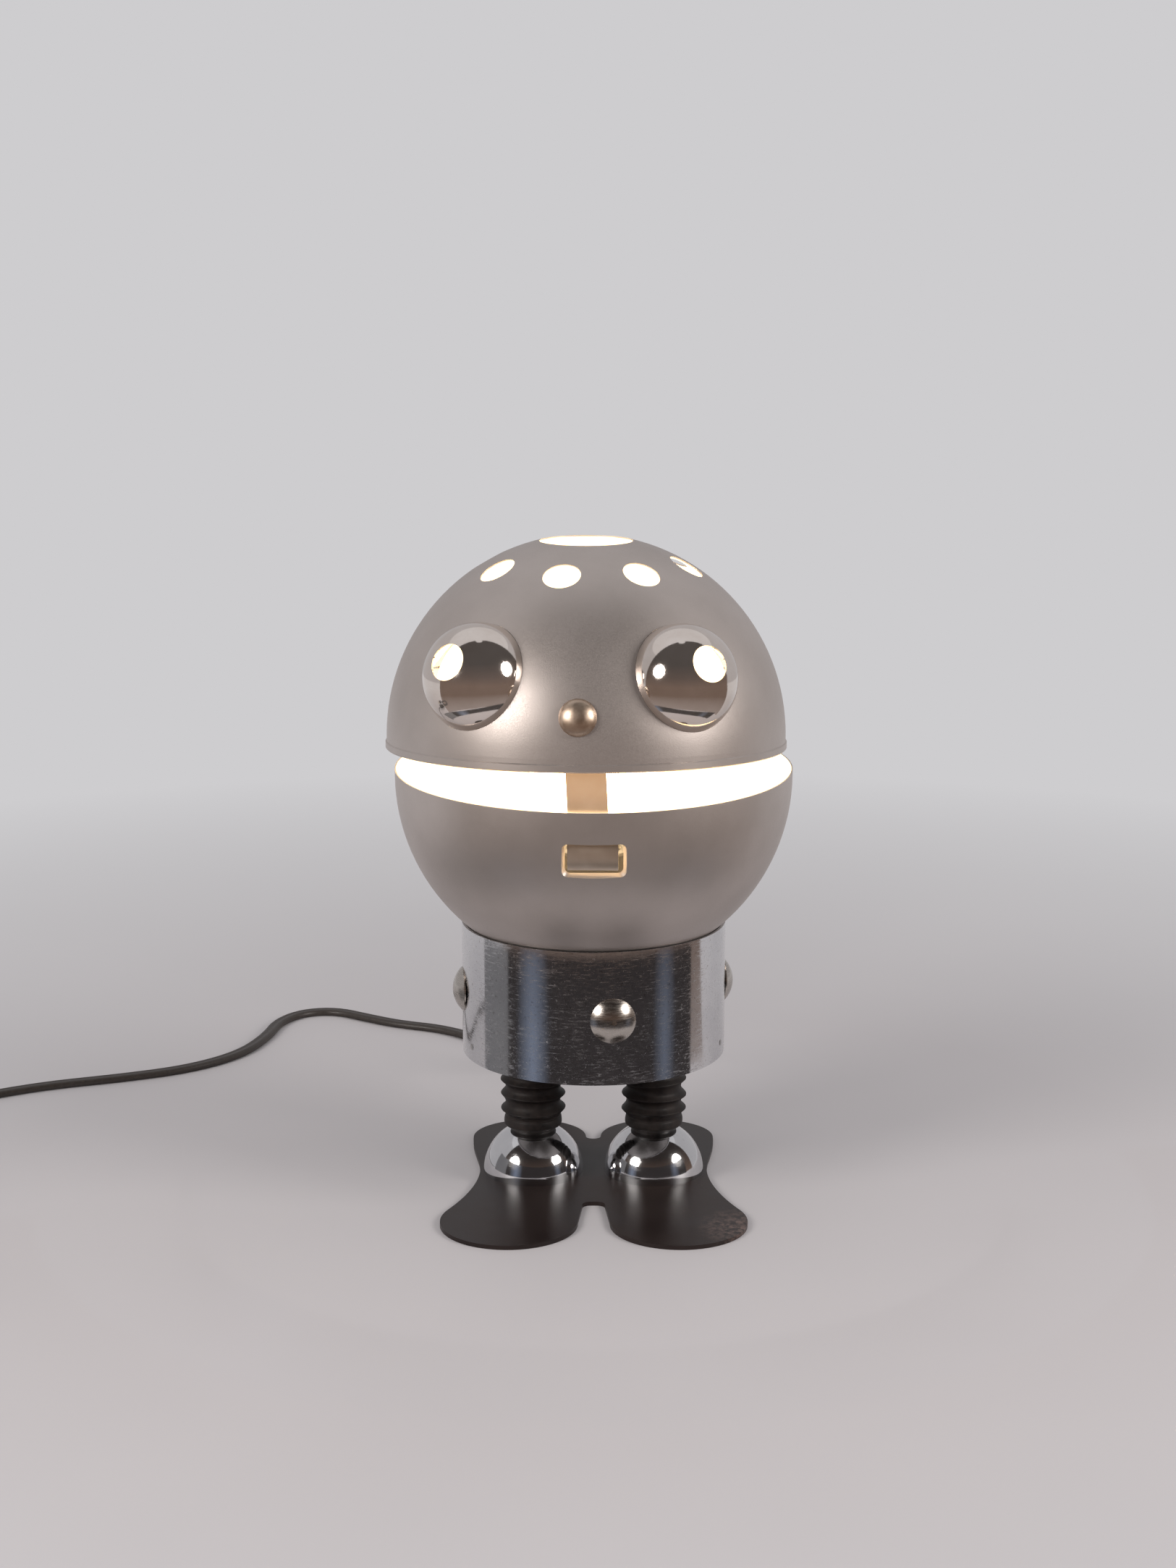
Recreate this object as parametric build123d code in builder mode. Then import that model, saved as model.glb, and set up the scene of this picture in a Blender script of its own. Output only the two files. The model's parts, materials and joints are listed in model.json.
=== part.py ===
from build123d import *
from math import acos, cos, degrees, pi, radians, sin, sqrt, tan
import os

# Robot shaped desk lamp. Millimetres, +Z up, the face looks along -Y and +X is to a viewer's right.
# The origin is on the table under the axis of the collar.

# ---- Head: two half shells with the mouth as the gap between them ----
HEAD_R = 70.0  # outer radius of both half shells
SHELL_T = 0.8  # sheet thickness of the shells
LOWER_Z = 151.3  # height of the lower shell's centre
LOWER_FRONT = 0.3  # height of the lower rim above the shell's centre, at the front
LOWER_TILT = 1.8  # degrees that the lower rim rises to the back
UPPER_Z = 165.1  # height of the upper shell's centre
BAND_H = 4.4  # straight band below the upper shell's equator
BEAD_H = 2.8  # height of the bead round the band
BEAD_T = 0.4  # how far the bead stands out
LID_TILT = 3.5  # degrees that the upper rim leans back
LID_SKEW = -2.3  # degrees that the lid sits turned on its hinge
LID_SHIFT = 0.3  # how far the lid sits to the viewer's right of its turned place
CROWN_HOLE_R = 16.3
CROWN_RING_HOLE_R = 6.5
CROWN_RING_ANGLE = 30.6  # degrees from the crown's axis to the ring of holes
CROWN_RING_COUNT = 8
CROWN_RING_TURN = -11.0
EYE_AZIMUTH = 34.3
EYE_ELEVATION = 24.8
EYE_R = 18.6
EYE_SEAT = 66.2  # distance of the eye dome's open end from the shell's centre
PUPIL_R = 6.3
NOSE_R = 6.25
NOSE_H = 3.8
NOSE_ELEVATION = 14.8

# ---- Chin window and the catch behind it ----
WINDOW_W = 24.4
WINDOW_H = 12.9
WINDOW_INNER_W = 19.4
WINDOW_ELEVATION = -14.0
WINDOW_LIP = 2.6  # depth of the lips turned in round the window
STRIP_W = 13.4
STRIP_T = 0.8
STRIP_SLANT = 3.0  # degrees that the strip leans to the window's middle
TAB_W = 17.0

# ---- Hinge at the back ----
PIN_Y = 73.5
PIN_Z = 153.6
PIN_R = 1.2
KNUCKLE_R = 2.4
LEAF_W = 26.0
LEAF_T = 1.2
MIDDLE_KNUCKLE_W = 8.8
KNUCKLE_GAP = 0.3
RIVET_X = 8.0

# ---- Collar and what it holds ----
COLLAR_R = 47.0
COLLAR_T = 1.0
COLLAR_BOTTOM = 51.0
COLLAR_TOP = 98.2
FLOOR_Z = 52.5
FLOOR_T = 1.2
FLOOR_FLANGE = 4.9
BUTTON_R = 7.9
BUTTON_H = 3.4
BUTTON_Z = 74.0
BUTTON_TURN = 8.0  # azimuth of the front button
COLLAR_SCREW_AZIMUTHS = (-66.0, 73.0, 125.0, -125.0)
COLLAR_SCREW_R = 1.1
COLLAR_SCREW_Z = 56.2
BRIDGE_W = 16.0
BRIDGE_T = 1.5
BRIDGE_TOP = 80.8
BRIDGE_REACH = 45.2
NIPPLE_R = 5.0
NIPPLE_BORE = 3.8
NIPPLE_BOTTOM = 74.0
NIPPLE_TOP = 95.0
CORD_EXIT_Z = 62.5
BUSH_HOLE_R = 4.0
BUSH_R = 5.0
BUSH_OUT = 21.0  # length of the tapered sleeve outside the collar

# ---- Legs and feet ----
LEG_X = 22.0
LEG_Y = 6.5
PLATE_T = 1.5
FOOT_R = 18.25
FOOT_T = 0.8
BELLOWS_R = 11.8
BELLOWS_VALLEY_R = 10.5
BELLOWS_PITCH = 5.45
BELLOWS_RIBS = 5
BELLOWS_FIRST_RIB = 25.5
BELLOWS_BORE = 8.6
NECK_R = 8.2
NECK_BORE = 6.6
ROD_R = 3.0
ROD_TOP = 62.0

# ---- Sole plate outline ----
TOE_X = 29.5
TOE_Y = -45.0
TOE_R = 24.0
HEEL_X = 24.1
HEEL_Y = 42.5
HEEL_RX = 21.3
HEEL_RY = 19.5
WAIST_X = 41.5
WAIST_Y = 7.0
FRONT_NOTCH = (4.0, -27.0)  # half width and inner end
BACK_NOTCH_Y = 40.0

# ---- Light ----
HOLDER_R = 14.0
HOLDER_BOTTOM = 88.0
HOLDER_TOP = 124.0
BULB_R = 22.5
BULB_Z = 151.0
BULB_T = 0.8
CAP_R = 6.8
FILAMENT_R = 8.0
WIRE_R = 0.35

# ---- Cord, switch and plug ----
CORD_R = 2.6
SWITCH_X = -268.0
SWITCH_Y = (24.0, -34.0)
SWITCH_W = 24.0
SWITCH_H = 17.0
SWITCH_CORD_Z = 5.0
ROCKER_TILT = 7.0
COIL_CENTRE = (-297.5, -75.0)
COIL_MEAN_R = 29.5
COIL_TURNS_WIDE = 3
COIL_TURNS_HIGH = 2
FLEX_T = 2.8  # thickness of the flat flex
PLUG_L = 36.0
PLUG_W = 26.0
PLUG_H = 14.0
PLUG_PIN_R = 2.0
PLUG_PIN_L = 19.0
PLUG_PIN_SPACING = 18.8
PLUG_BACK_Y = -36.0

# The flex leaves the bush, drops behind the collar and lies on the table.
LEAD_ROUTE = [
    (0, 68, 62.5),
    (0, 80, 62.5),
    (-2, 93, 55),
    (-6, 102, 40),
    (-12, 110, 23),
    (-20, 122, 9),
    (-32, 142, 2.6),
    (-46, 165, 2.6),
    (-64, 182, 2.6),
    (-84, 189, 2.6),
    (-99, 199, 2.6),
    (-113, 209, 2.6),
    (-128, 206, 2.6),
    (-137, 191, 2.6),
    (-139, 172, 2.6),
    (-147, 146, 2.6),
    (-166, 126, 2.6),
    (-192, 114, 2.6),
    (-221, 104, 2.6),
    (-247, 88, 2.6),
    (-263, 63, 2.6),
    (-268, 40, 5),
    (-268, 18, 5),
]
LINK_ROUTE = [(-268, -28, 5), (-268, -40, 5), (-268, -52, 2.9), (-268, -62, 2.9)]
TAIL_ROUTE = [(-327, -62, 2.9), (-327, -52, 4.6), (-327, -41, 7), (-327, -30, 7)]


# ---- Frames and helpers ----
def turned(origin, angle):
    """A level frame turned about the vertical."""
    return Plane(origin=origin, x_dir=(cos(radians(angle)), sin(radians(angle)), 0), z_dir=(0, 0, 1))


def upright(frame):
    """The frame's plane of symmetry: x stays, and the frame's axis is up."""
    return Plane(origin=frame.origin, x_dir=frame.x_dir, z_dir=-frame.y_dir)


def ball_plane(frame, azimuth, elevation, radius):
    """The plane tangent to a ball about the frame's origin. Azimuth 0 is the front."""
    a, e = radians(azimuth), radians(elevation)
    outward = frame.x_dir * (sin(a) * cos(e)) - frame.y_dir * (cos(a) * cos(e)) + frame.z_dir * sin(e)
    level = frame.x_dir * cos(a) + frame.y_dir * sin(a)
    return Plane(origin=frame.origin + outward * radius, x_dir=level, z_dir=outward)


def arc_radii(route):
    """One radius for each corner: 0.45 of the shorter run over the tangent of half the turn."""
    points = [Vector(*p) for p in route]
    radii = []
    for before, corner, after in zip(points, points[1:], points[2:]):
        arriving, leaving = corner - before, after - corner
        half_turn = radians(arriving.get_angle(leaving)) / 2
        radii.append(0.45 * min(arriving.length, leaving.length) / tan(half_turn))
    return radii


def axis_of(plane):
    """The line through a plane's origin along its normal."""
    return Axis(plane.origin, plane.z_dir)


LOWER = turned((0, 0, LOWER_Z), 0)
skew = radians(LID_SKEW)
LID = turned((PIN_Y * sin(skew) + LID_SHIFT, PIN_Y * (1 - cos(skew)), UPPER_Z), LID_SKEW)
tilt = radians(LID_TILT)
RIM = Plane(origin=LID.origin, x_dir=LID.x_dir, z_dir=LID.y_dir * sin(tilt) + LID.z_dir * cos(tilt))
LID_SIDE = Plane(origin=LID.origin, x_dir=LID.y_dir, z_dir=LID.x_dir)
SIDE = Plane.YZ
lean = radians(LOWER_TILT)
LOWER_RIM = Plane(origin=(0, -HEAD_R, LOWER_Z + LOWER_FRONT), z_dir=(0, -sin(lean), cos(lean)))
LOWER_BAND = 7.0  # height of the lower shell's band before the rim is cut
os.makedirs("parts", exist_ok=True)

# ---- Sole plate: two shoe soles joined by a web ----
toe_join = (TOE_X + TOE_R * cos(radians(25)), TOE_Y + TOE_R * sin(radians(25)))
with BuildPart() as sole_plate:
    with BuildSketch(Plane.XY) as sole_outline:
        with BuildLine():
            Line((0, FRONT_NOTCH[1]), (FRONT_NOTCH[0] - 2.6, FRONT_NOTCH[1]))
            ThreePointArc(
                (FRONT_NOTCH[0] - 2.6, FRONT_NOTCH[1]),
                (FRONT_NOTCH[0] - 0.8, FRONT_NOTCH[1] - 0.9),
                (FRONT_NOTCH[0], FRONT_NOTCH[1] - 2.6),
            )
            Line((FRONT_NOTCH[0], FRONT_NOTCH[1] - 2.6), (TOE_X - TOE_R, TOE_Y))
            CenterArc((TOE_X, TOE_Y), TOE_R, 180, 205)
            Spline(
                toe_join,
                (WAIST_X, WAIST_Y),
                (HEEL_X + HEEL_RX, HEEL_Y),
                tangents=((-sin(radians(25)), cos(radians(25))), (0, 1)),
            )
            EllipticalCenterArc((HEEL_X, HEEL_Y), HEEL_RX, HEEL_RY, 0, arc_size=180)
            ThreePointArc(
                (HEEL_X - HEEL_RX, HEEL_Y),
                (2.0, BACK_NOTCH_Y + 0.7),
                (0, BACK_NOTCH_Y),
            )
            Line((0, BACK_NOTCH_Y), (0, FRONT_NOTCH[1]))
        make_face()
        mirror(about=Plane.YZ)
    extrude(amount=PLATE_T)
    with Locations((-LEG_X, LEG_Y), (LEG_X, LEG_Y)):
        Hole(ROD_R - 0.5)
sole_plate.part.label = "sole_plate"
export_step(sole_plate.part, "parts/sole_plate.step")


# ---- Legs: a chrome dome on the plate, a rubber bellows and a rod through both ----
def make_foot_dome(x):
    """A hemispherical pressing, open at the top for the bellows' neck."""
    foot = Plane(origin=(x, LEG_Y, PLATE_T))
    with BuildPart() as dome:
        with BuildSketch(upright(foot)):
            with BuildLine():
                outer = CenterArc((0, 0), FOOT_R, 0, degrees(acos(NECK_R / FOOT_R)))
                inner = CenterArc((0, 0), FOOT_R - FOOT_T, 0, degrees(acos(NECK_R / (FOOT_R - FOOT_T))))
                Line(outer @ 0, inner @ 0)
                Line(outer @ 1, inner @ 1)
            make_face()
        revolve(axis=axis_of(foot))
    return dome.part


def make_bellows(x):
    """A rubber sleeve: a neck in the dome, a plain stretch and rounded ribs."""
    foot = Plane(origin=(x, LEG_Y, 0))
    with BuildPart() as bellows:
        with BuildSketch(upright(foot)):
            with BuildLine():
                low = BELLOWS_FIRST_RIB - BELLOWS_PITCH / 2
                Polyline(
                    (BELLOWS_VALLEY_R, low),
                    (BELLOWS_VALLEY_R + 0.3, 19.0),
                    (NECK_R, 18.0),
                    (NECK_R, 13.5),
                    (NECK_BORE, 13.5),
                    (NECK_BORE, 20.0),
                    (BELLOWS_BORE, 22.0),
                    (BELLOWS_BORE, FLOOR_Z),
                    (BELLOWS_VALLEY_R, FLOOR_Z),
                    (BELLOWS_VALLEY_R, low + BELLOWS_RIBS * BELLOWS_PITCH),
                )
                for rib in range(BELLOWS_RIBS):
                    start = low + rib * BELLOWS_PITCH
                    ThreePointArc(
                        (BELLOWS_VALLEY_R, start),
                        (BELLOWS_R, start + BELLOWS_PITCH / 2),
                        (BELLOWS_VALLEY_R, start + BELLOWS_PITCH),
                    )
            make_face()
        revolve(axis=axis_of(foot))
    return bellows.part


def make_leg_rod(x):
    """A steel rod, riveted flush in the plate and threaded at the top."""
    with BuildPart() as rod:
        with BuildSketch(Plane.XY.offset(PLATE_T)):
            with Locations((x, LEG_Y)):
                Circle(ROD_R)
        extrude(amount=ROD_TOP - PLATE_T)
        with BuildSketch(Plane.XY):
            with Locations((x, LEG_Y)):
                Circle(ROD_R - 0.5)
        extrude(amount=PLATE_T)
        chamfer(rod.edges().group_by(Axis.Z)[-1], 0.5)
    return rod.part


for side, x in (("left", -LEG_X), ("right", LEG_X)):
    for name, make in (("foot_dome", make_foot_dome), ("leg_bellows", make_bellows), ("leg_rod", make_leg_rod)):
        piece = make(x)
        piece.label = f"{name}_{side}"
        export_step(piece, f"parts/{name}_{side}.step")

WASHER_T = 1.2
with BuildPart() as leg_washers:
    with BuildSketch(Plane.XY.offset(FLOOR_Z + FLOOR_T)):
        with Locations((-LEG_X, LEG_Y), (LEG_X, LEG_Y)):
            Circle(6.5)
            Circle(ROD_R, mode=Mode.SUBTRACT)
    extrude(amount=WASHER_T)
leg_washers.part.label = "leg_washers"
export_step(leg_washers.part, "parts/leg_washers.step")

with BuildPart() as leg_nuts:
    with BuildSketch(Plane.XY.offset(FLOOR_Z + FLOOR_T + WASHER_T)):
        with Locations((-LEG_X, LEG_Y), (LEG_X, LEG_Y)):
            RegularPolygon(5.0, 6, major_radius=False)
            Circle(ROD_R, mode=Mode.SUBTRACT)
    extrude(amount=5.0)
leg_nuts.part.label = "leg_nuts"
export_step(leg_nuts.part, "parts/leg_nuts.step")

# ---- Collar: a chrome tube with its floor pan ----
COLLAR = turned((0, 0, 0), 0)
with BuildPart() as collar:
    with BuildSketch(Plane.XY.offset(COLLAR_BOTTOM)):
        Circle(COLLAR_R)
        Circle(COLLAR_R - COLLAR_T, mode=Mode.SUBTRACT)
    extrude(amount=COLLAR_TOP - COLLAR_BOTTOM)
    for quarter in range(4):
        with BuildSketch(ball_plane(turned((0, 0, BUTTON_Z), 0), BUTTON_TURN + 90 * quarter, 0, COLLAR_R + 1)):
            Circle(2.0)
        extrude(amount=-3, mode=Mode.SUBTRACT)
    for azimuth in COLLAR_SCREW_AZIMUTHS:
        with BuildSketch(ball_plane(turned((0, 0, COLLAR_SCREW_Z), 0), azimuth, 0, COLLAR_R + 1)):
            Circle(COLLAR_SCREW_R)
        extrude(amount=-3, mode=Mode.SUBTRACT)
    with BuildSketch(ball_plane(turned((0, 0, CORD_EXIT_Z), 0), 180, 0, COLLAR_R + 1)):
        Circle(BUSH_HOLE_R)
    extrude(amount=-3, mode=Mode.SUBTRACT)
collar.part.label = "collar"
export_step(collar.part, "parts/collar.step")

FLOOR_R = COLLAR_R - COLLAR_T
with BuildPart() as collar_floor:
    with BuildSketch(Plane.XY.offset(FLOOR_Z)):
        Circle(FLOOR_R)
    extrude(amount=FLOOR_FLANGE)
    with BuildSketch(Plane.XY.offset(FLOOR_Z + FLOOR_T)):
        Circle(FLOOR_R - FLOOR_T)
    extrude(amount=FLOOR_FLANGE, mode=Mode.SUBTRACT)
    with Locations((-LEG_X, LEG_Y, FLOOR_Z), (LEG_X, LEG_Y, FLOOR_Z)):
        Hole(ROD_R)
    for azimuth in COLLAR_SCREW_AZIMUTHS:
        with BuildSketch(ball_plane(turned((0, 0, COLLAR_SCREW_Z), 0), azimuth, 0, COLLAR_R)):
            Circle(COLLAR_SCREW_R)
        extrude(amount=-4, mode=Mode.SUBTRACT)
collar_floor.part.label = "collar_floor"
export_step(collar_floor.part, "parts/collar_floor.step")

with BuildPart() as collar_screws:
    for azimuth in COLLAR_SCREW_AZIMUTHS:
        with BuildSketch(ball_plane(turned((0, 0, COLLAR_SCREW_Z), 0), azimuth, 0, COLLAR_R + 0.1)):
            Circle(COLLAR_SCREW_R)
        extrude(amount=-2.9)
collar_screws.part.label = "collar_screws"
export_step(collar_screws.part, "parts/collar_screws.step")

# ---- Domed buttons: cap screws, two of which hold the bridge ----
dome_r = (BUTTON_R**2 + BUTTON_H**2) / (2 * BUTTON_H)
with BuildPart() as collar_buttons:
    for quarter in range(4):
        seat = ball_plane(turned((0, 0, BUTTON_Z), 0), BUTTON_TURN + 90 * quarter, 0, COLLAR_R - 0.3)
        with BuildSketch(upright(seat)):
            with BuildLine():
                Line((0, 0), (BUTTON_R, 0))
                Line((BUTTON_R, 0), (BUTTON_R, 0.5))
                ThreePointArc(
                    (BUTTON_R, 0.5),
                    (BUTTON_R * 0.62, 0.5 + BUTTON_H - dome_r + sqrt(dome_r**2 - (BUTTON_R * 0.62) ** 2)),
                    (0, BUTTON_H + 0.5),
                )
                Line((0, BUTTON_H + 0.5), (0, 0))
            make_face()
        revolve(axis=axis_of(seat))
    with Locations((0, 0, BUTTON_Z)):
        Cylinder(COLLAR_R, 4 * BUTTON_R, mode=Mode.SUBTRACT)
    for quarter in range(4):
        with BuildSketch(ball_plane(turned((0, 0, BUTTON_Z), 0), BUTTON_TURN + 90 * quarter, 0, COLLAR_R + 1)):
            Circle(2.0)
        extrude(amount=-8)
collar_buttons.part.label = "collar_buttons"
export_step(collar_buttons.part, "parts/collar_buttons.step")

with BuildPart() as button_nuts:
    for quarter in range(4):
        inner = BRIDGE_REACH - BRIDGE_T if quarter % 2 else BRIDGE_REACH
        with BuildSketch(ball_plane(turned((0, 0, BUTTON_Z), 0), BUTTON_TURN + 90 * quarter, 0, inner)):
            RegularPolygon(3.5, 6, major_radius=False)
            Circle(2.0, mode=Mode.SUBTRACT)
        extrude(amount=-3)
button_nuts.part.label = "button_nuts"
export_step(button_nuts.part, "parts/button_nuts.step")

BRIDGE = turned((0, 0, BRIDGE_TOP), BUTTON_TURN)
with BuildPart() as collar_bridge:
    with BuildSketch(upright(BRIDGE)):
        with BuildLine():
            Polyline(
                (-BRIDGE_REACH, -12),
                (-BRIDGE_REACH, 0),
                (BRIDGE_REACH, 0),
                (BRIDGE_REACH, -12),
                (BRIDGE_REACH - BRIDGE_T, -12),
                (BRIDGE_REACH - BRIDGE_T, -BRIDGE_T),
                (-BRIDGE_REACH + BRIDGE_T, -BRIDGE_T),
                (-BRIDGE_REACH + BRIDGE_T, -12),
                close=True,
            )
        make_face()
    extrude(amount=BRIDGE_W / 2, both=True)
    with Locations((0, 0, BRIDGE_TOP)):
        Hole(NIPPLE_R)
    for quarter in (1, 3):
        with BuildSketch(ball_plane(turned((0, 0, BUTTON_Z), 0), BUTTON_TURN + 90 * quarter, 0, COLLAR_R)):
            Circle(2.0)
        extrude(amount=-4, mode=Mode.SUBTRACT)
collar_bridge.part.label = "collar_bridge"
export_step(collar_bridge.part, "parts/collar_bridge.step")

# ---- Swivel: a threaded nipple through the bridge and the lower shell ----
with BuildPart() as nipple:
    with BuildSketch(Plane.XY.offset(NIPPLE_BOTTOM)):
        Circle(NIPPLE_R)
        Circle(NIPPLE_BORE, mode=Mode.SUBTRACT)
    extrude(amount=NIPPLE_TOP - NIPPLE_BOTTOM)
nipple.part.label = "nipple"
export_step(nipple.part, "parts/nipple.step")

NUT_H = 3.4
UPPER_WASHER_Z = 82.95
with BuildPart() as swivel_washers:
    for bottom, radius, thickness in ((BRIDGE_TOP, 9.0, 0.4), (UPPER_WASHER_Z, 8.0, 0.8)):
        with BuildSketch(Plane.XY.offset(bottom)):
            Circle(radius)
            Circle(NIPPLE_R, mode=Mode.SUBTRACT)
        extrude(amount=thickness)
swivel_washers.part.label = "swivel_washers"
export_step(swivel_washers.part, "parts/swivel_washers.step")

with BuildPart() as nipple_nuts:
    for bottom in (BRIDGE_TOP - BRIDGE_T - NUT_H, UPPER_WASHER_Z + 0.8):
        with BuildSketch(Plane.XY.offset(bottom)):
            RegularPolygon(7.0, 6, major_radius=False)
            Circle(NIPPLE_R, mode=Mode.SUBTRACT)
        extrude(amount=NUT_H)
nipple_nuts.part.label = "nipple_nuts"
export_step(nipple_nuts.part, "parts/nipple_nuts.step")

# ---- Cord entry: rubber bush, clamp and the flex inside ----
BUSH = ball_plane(turned((0, 0, CORD_EXIT_Z), 0), 180, 0, 0)
with BuildPart() as cord_bush:
    with BuildSketch(upright(BUSH)):
        with BuildLine():
            Polyline(
                (CORD_R, FLOOR_R - 2.5),
                (BUSH_R, FLOOR_R - 2.5),
                (BUSH_R, FLOOR_R - 0.5),
                (BUSH_HOLE_R, FLOOR_R - 0.5),
                (BUSH_HOLE_R, COLLAR_R + 0.1),
                (BUSH_R, COLLAR_R + 0.1),
                (BUSH_R, COLLAR_R + 1.6),
                (4.4, COLLAR_R + 2.4),
                (3.2, COLLAR_R + BUSH_OUT),
                (CORD_R, COLLAR_R + BUSH_OUT),
                close=True,
            )
        make_face()
    revolve(axis=axis_of(BUSH))
cord_bush.part.label = "cord_bush"
export_step(cord_bush.part, "parts/cord_bush.step")

CLAMP_Y = 28.0
with BuildPart() as cord_clamp:
    with BuildSketch(Plane.XZ.offset(-CLAMP_Y)):
        with BuildLine():
            Polyline(
                (-9, FLOOR_Z + FLOOR_T),
                (9, FLOOR_Z + FLOOR_T),
                (9, FLOOR_Z + FLOOR_T + 3),
                (5.5, FLOOR_Z + FLOOR_T + 3),
                (5.5, CORD_EXIT_Z + 4.5),
                (-5.5, CORD_EXIT_Z + 4.5),
                (-5.5, FLOOR_Z + FLOOR_T + 3),
                (-9, FLOOR_Z + FLOOR_T + 3),
                close=True,
            )
        make_face()
        with Locations((0, CORD_EXIT_Z)):
            Circle(CORD_R, mode=Mode.SUBTRACT)
    extrude(amount=4, both=True)
cord_clamp.part.label = "cord_clamp"
export_step(cord_clamp.part, "parts/cord_clamp.step")

INNER_FLEX = [(0, COLLAR_R + BUSH_OUT, CORD_EXIT_Z), (0, 0, CORD_EXIT_Z), (0, 0, HOLDER_BOTTOM + 8)]
with BuildPart() as inner_flex:
    with BuildLine():
        flex_path = FilletPolyline(*INNER_FLEX, radius=10)
    with BuildSketch(Plane(origin=flex_path @ 0, z_dir=flex_path % 0)):
        Circle(CORD_R)
    sweep(path=flex_path)
inner_flex.part.label = "inner_flex"
export_step(inner_flex.part, "parts/inner_flex.step")

# ---- Light: lampholder and bulb on the nipple ----
HOLDER_FLOOR = 96.0
with BuildPart() as lampholder_body:
    with BuildSketch(Plane.XZ):
        with BuildLine():
            Polyline(
                (NIPPLE_R, HOLDER_BOTTOM),
                (9.0, HOLDER_BOTTOM),
                (HOLDER_R, HOLDER_BOTTOM + 8),
                (HOLDER_R, HOLDER_TOP),
                (9.2, HOLDER_TOP),
                (9.2, HOLDER_FLOOR + 2),
                (CORD_R, HOLDER_FLOOR + 2),
                (CORD_R, HOLDER_FLOOR - 1),
                (NIPPLE_R, HOLDER_FLOOR - 1),
                close=True,
            )
        make_face()
    revolve(axis=Axis.Z)
    chamfer(lampholder_body.edges().group_by(Axis.Z)[-1], 0.8)
lampholder_body.part.label = "lampholder_body"
export_step(lampholder_body.part, "parts/lampholder_body.step")

with BuildPart() as screw_shell:
    with BuildSketch(Plane.XY.offset(101)):
        Circle(7.8)
        Circle(7.2, mode=Mode.SUBTRACT)
    extrude(amount=HOLDER_TOP - 102.5)
    with BuildSketch(Plane.XY.offset(101)):
        Circle(9.2)
        Circle(7.2, mode=Mode.SUBTRACT)
    extrude(amount=1.0)
screw_shell.part.label = "screw_shell"
export_step(screw_shell.part, "parts/screw_shell.step")

with BuildPart() as centre_contact:
    with BuildSketch(Plane.XY.offset(HOLDER_FLOOR + 2)):
        Circle(3.4)
    extrude(amount=1.6)
    with BuildSketch(Plane.XY.offset(HOLDER_FLOOR + 3.6)):
        Circle(1.8)
    extrude(amount=1.4)
centre_contact.part.label = "centre_contact"
export_step(centre_contact.part, "parts/centre_contact.step")

CAP_BOTTOM = 103.0
CAP_TOP = 127.0
with BuildPart() as bulb_cap:
    with BuildSketch(Plane.XZ):
        with BuildLine():
            Polyline(
                (0, HOLDER_FLOOR + 5),
                (3.0, HOLDER_FLOOR + 5),
                (3.6, CAP_BOTTOM),
                (CAP_R, CAP_BOTTOM + 2),
                (CAP_R, CAP_TOP),
                (CAP_R - 0.6, CAP_TOP),
                (CAP_R - 0.6, CAP_BOTTOM + 3),
                (0, CAP_BOTTOM + 3),
                close=True,
            )
        make_face()
    revolve(axis=Axis.Z)
bulb_cap.part.label = "bulb_cap"
export_step(bulb_cap.part, "parts/bulb_cap.step")

NECK_ANGLE = -68.0
with BuildPart() as bulb_glass:
    with BuildSketch(Plane.XZ):
        with BuildLine():
            ball = CenterArc((0, BULB_Z), BULB_R, NECK_ANGLE, 90 - NECK_ANGLE)
            hollow = CenterArc((0, BULB_Z), BULB_R - BULB_T, NECK_ANGLE, 90 - NECK_ANGLE)
            Line(ball @ 1, hollow @ 1)
            Polyline(ball @ 0, (CAP_R - 0.6, CAP_TOP + 0.4), (CAP_R - 0.6, CAP_BOTTOM + 8))
            Polyline(hollow @ 0, (CAP_R - 1.3, CAP_TOP + 0.4), (CAP_R - 1.3, CAP_BOTTOM + 8))
            Line((CAP_R - 0.6, CAP_BOTTOM + 8), (CAP_R - 1.3, CAP_BOTTOM + 8))
        make_face()
    revolve(axis=Axis.Z)
bulb_glass.part.label = "bulb_glass"
export_step(bulb_glass.part, "parts/bulb_glass.step")

STEM_TOP = 142.0
with BuildPart() as filament:
    with BuildLine():
        rising = Line((-1.0, 0, STEM_TOP - 4), (-FILAMENT_R, 0, BULB_Z))
    with BuildSketch(Plane(origin=rising @ 0, z_dir=rising % 0)):
        Circle(WIRE_R)
    sweep(path=rising)
    with BuildLine():
        falling = Line((1.0, 0, STEM_TOP - 4), (FILAMENT_R, 0, BULB_Z))
    with BuildSketch(Plane(origin=falling @ 0, z_dir=falling % 0)):
        Circle(WIRE_R)
    sweep(path=falling)
    with BuildLine():
        glow = CenterArc((0, 0, BULB_Z), FILAMENT_R, 180, 180)
    with BuildSketch(Plane(origin=glow @ 0, z_dir=glow % 0)):
        Circle(WIRE_R + 0.1)
    sweep(path=glow)
filament.part.label = "filament"
export_step(filament.part, "parts/filament.step")

with BuildPart() as bulb_stem:
    with BuildSketch(Plane.XZ):
        with BuildLine():
            Polyline(
                (0, CAP_BOTTOM + 3),
                (4.6, CAP_BOTTOM + 3),
                (3.2, CAP_TOP),
                (1.6, STEM_TOP - 2),
                (0, STEM_TOP),
                close=True,
            )
        make_face()
    revolve(axis=Axis.Z)
    add(filament.part, mode=Mode.SUBTRACT)
bulb_stem.part.label = "bulb_stem"
export_step(bulb_stem.part, "parts/bulb_stem.step")

# ---- Lower shell with its chin window ----
SHELL_IN = HEAD_R - SHELL_T
WINDOW = ball_plane(LOWER, 0, WINDOW_ELEVATION, HEAD_R)


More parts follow.
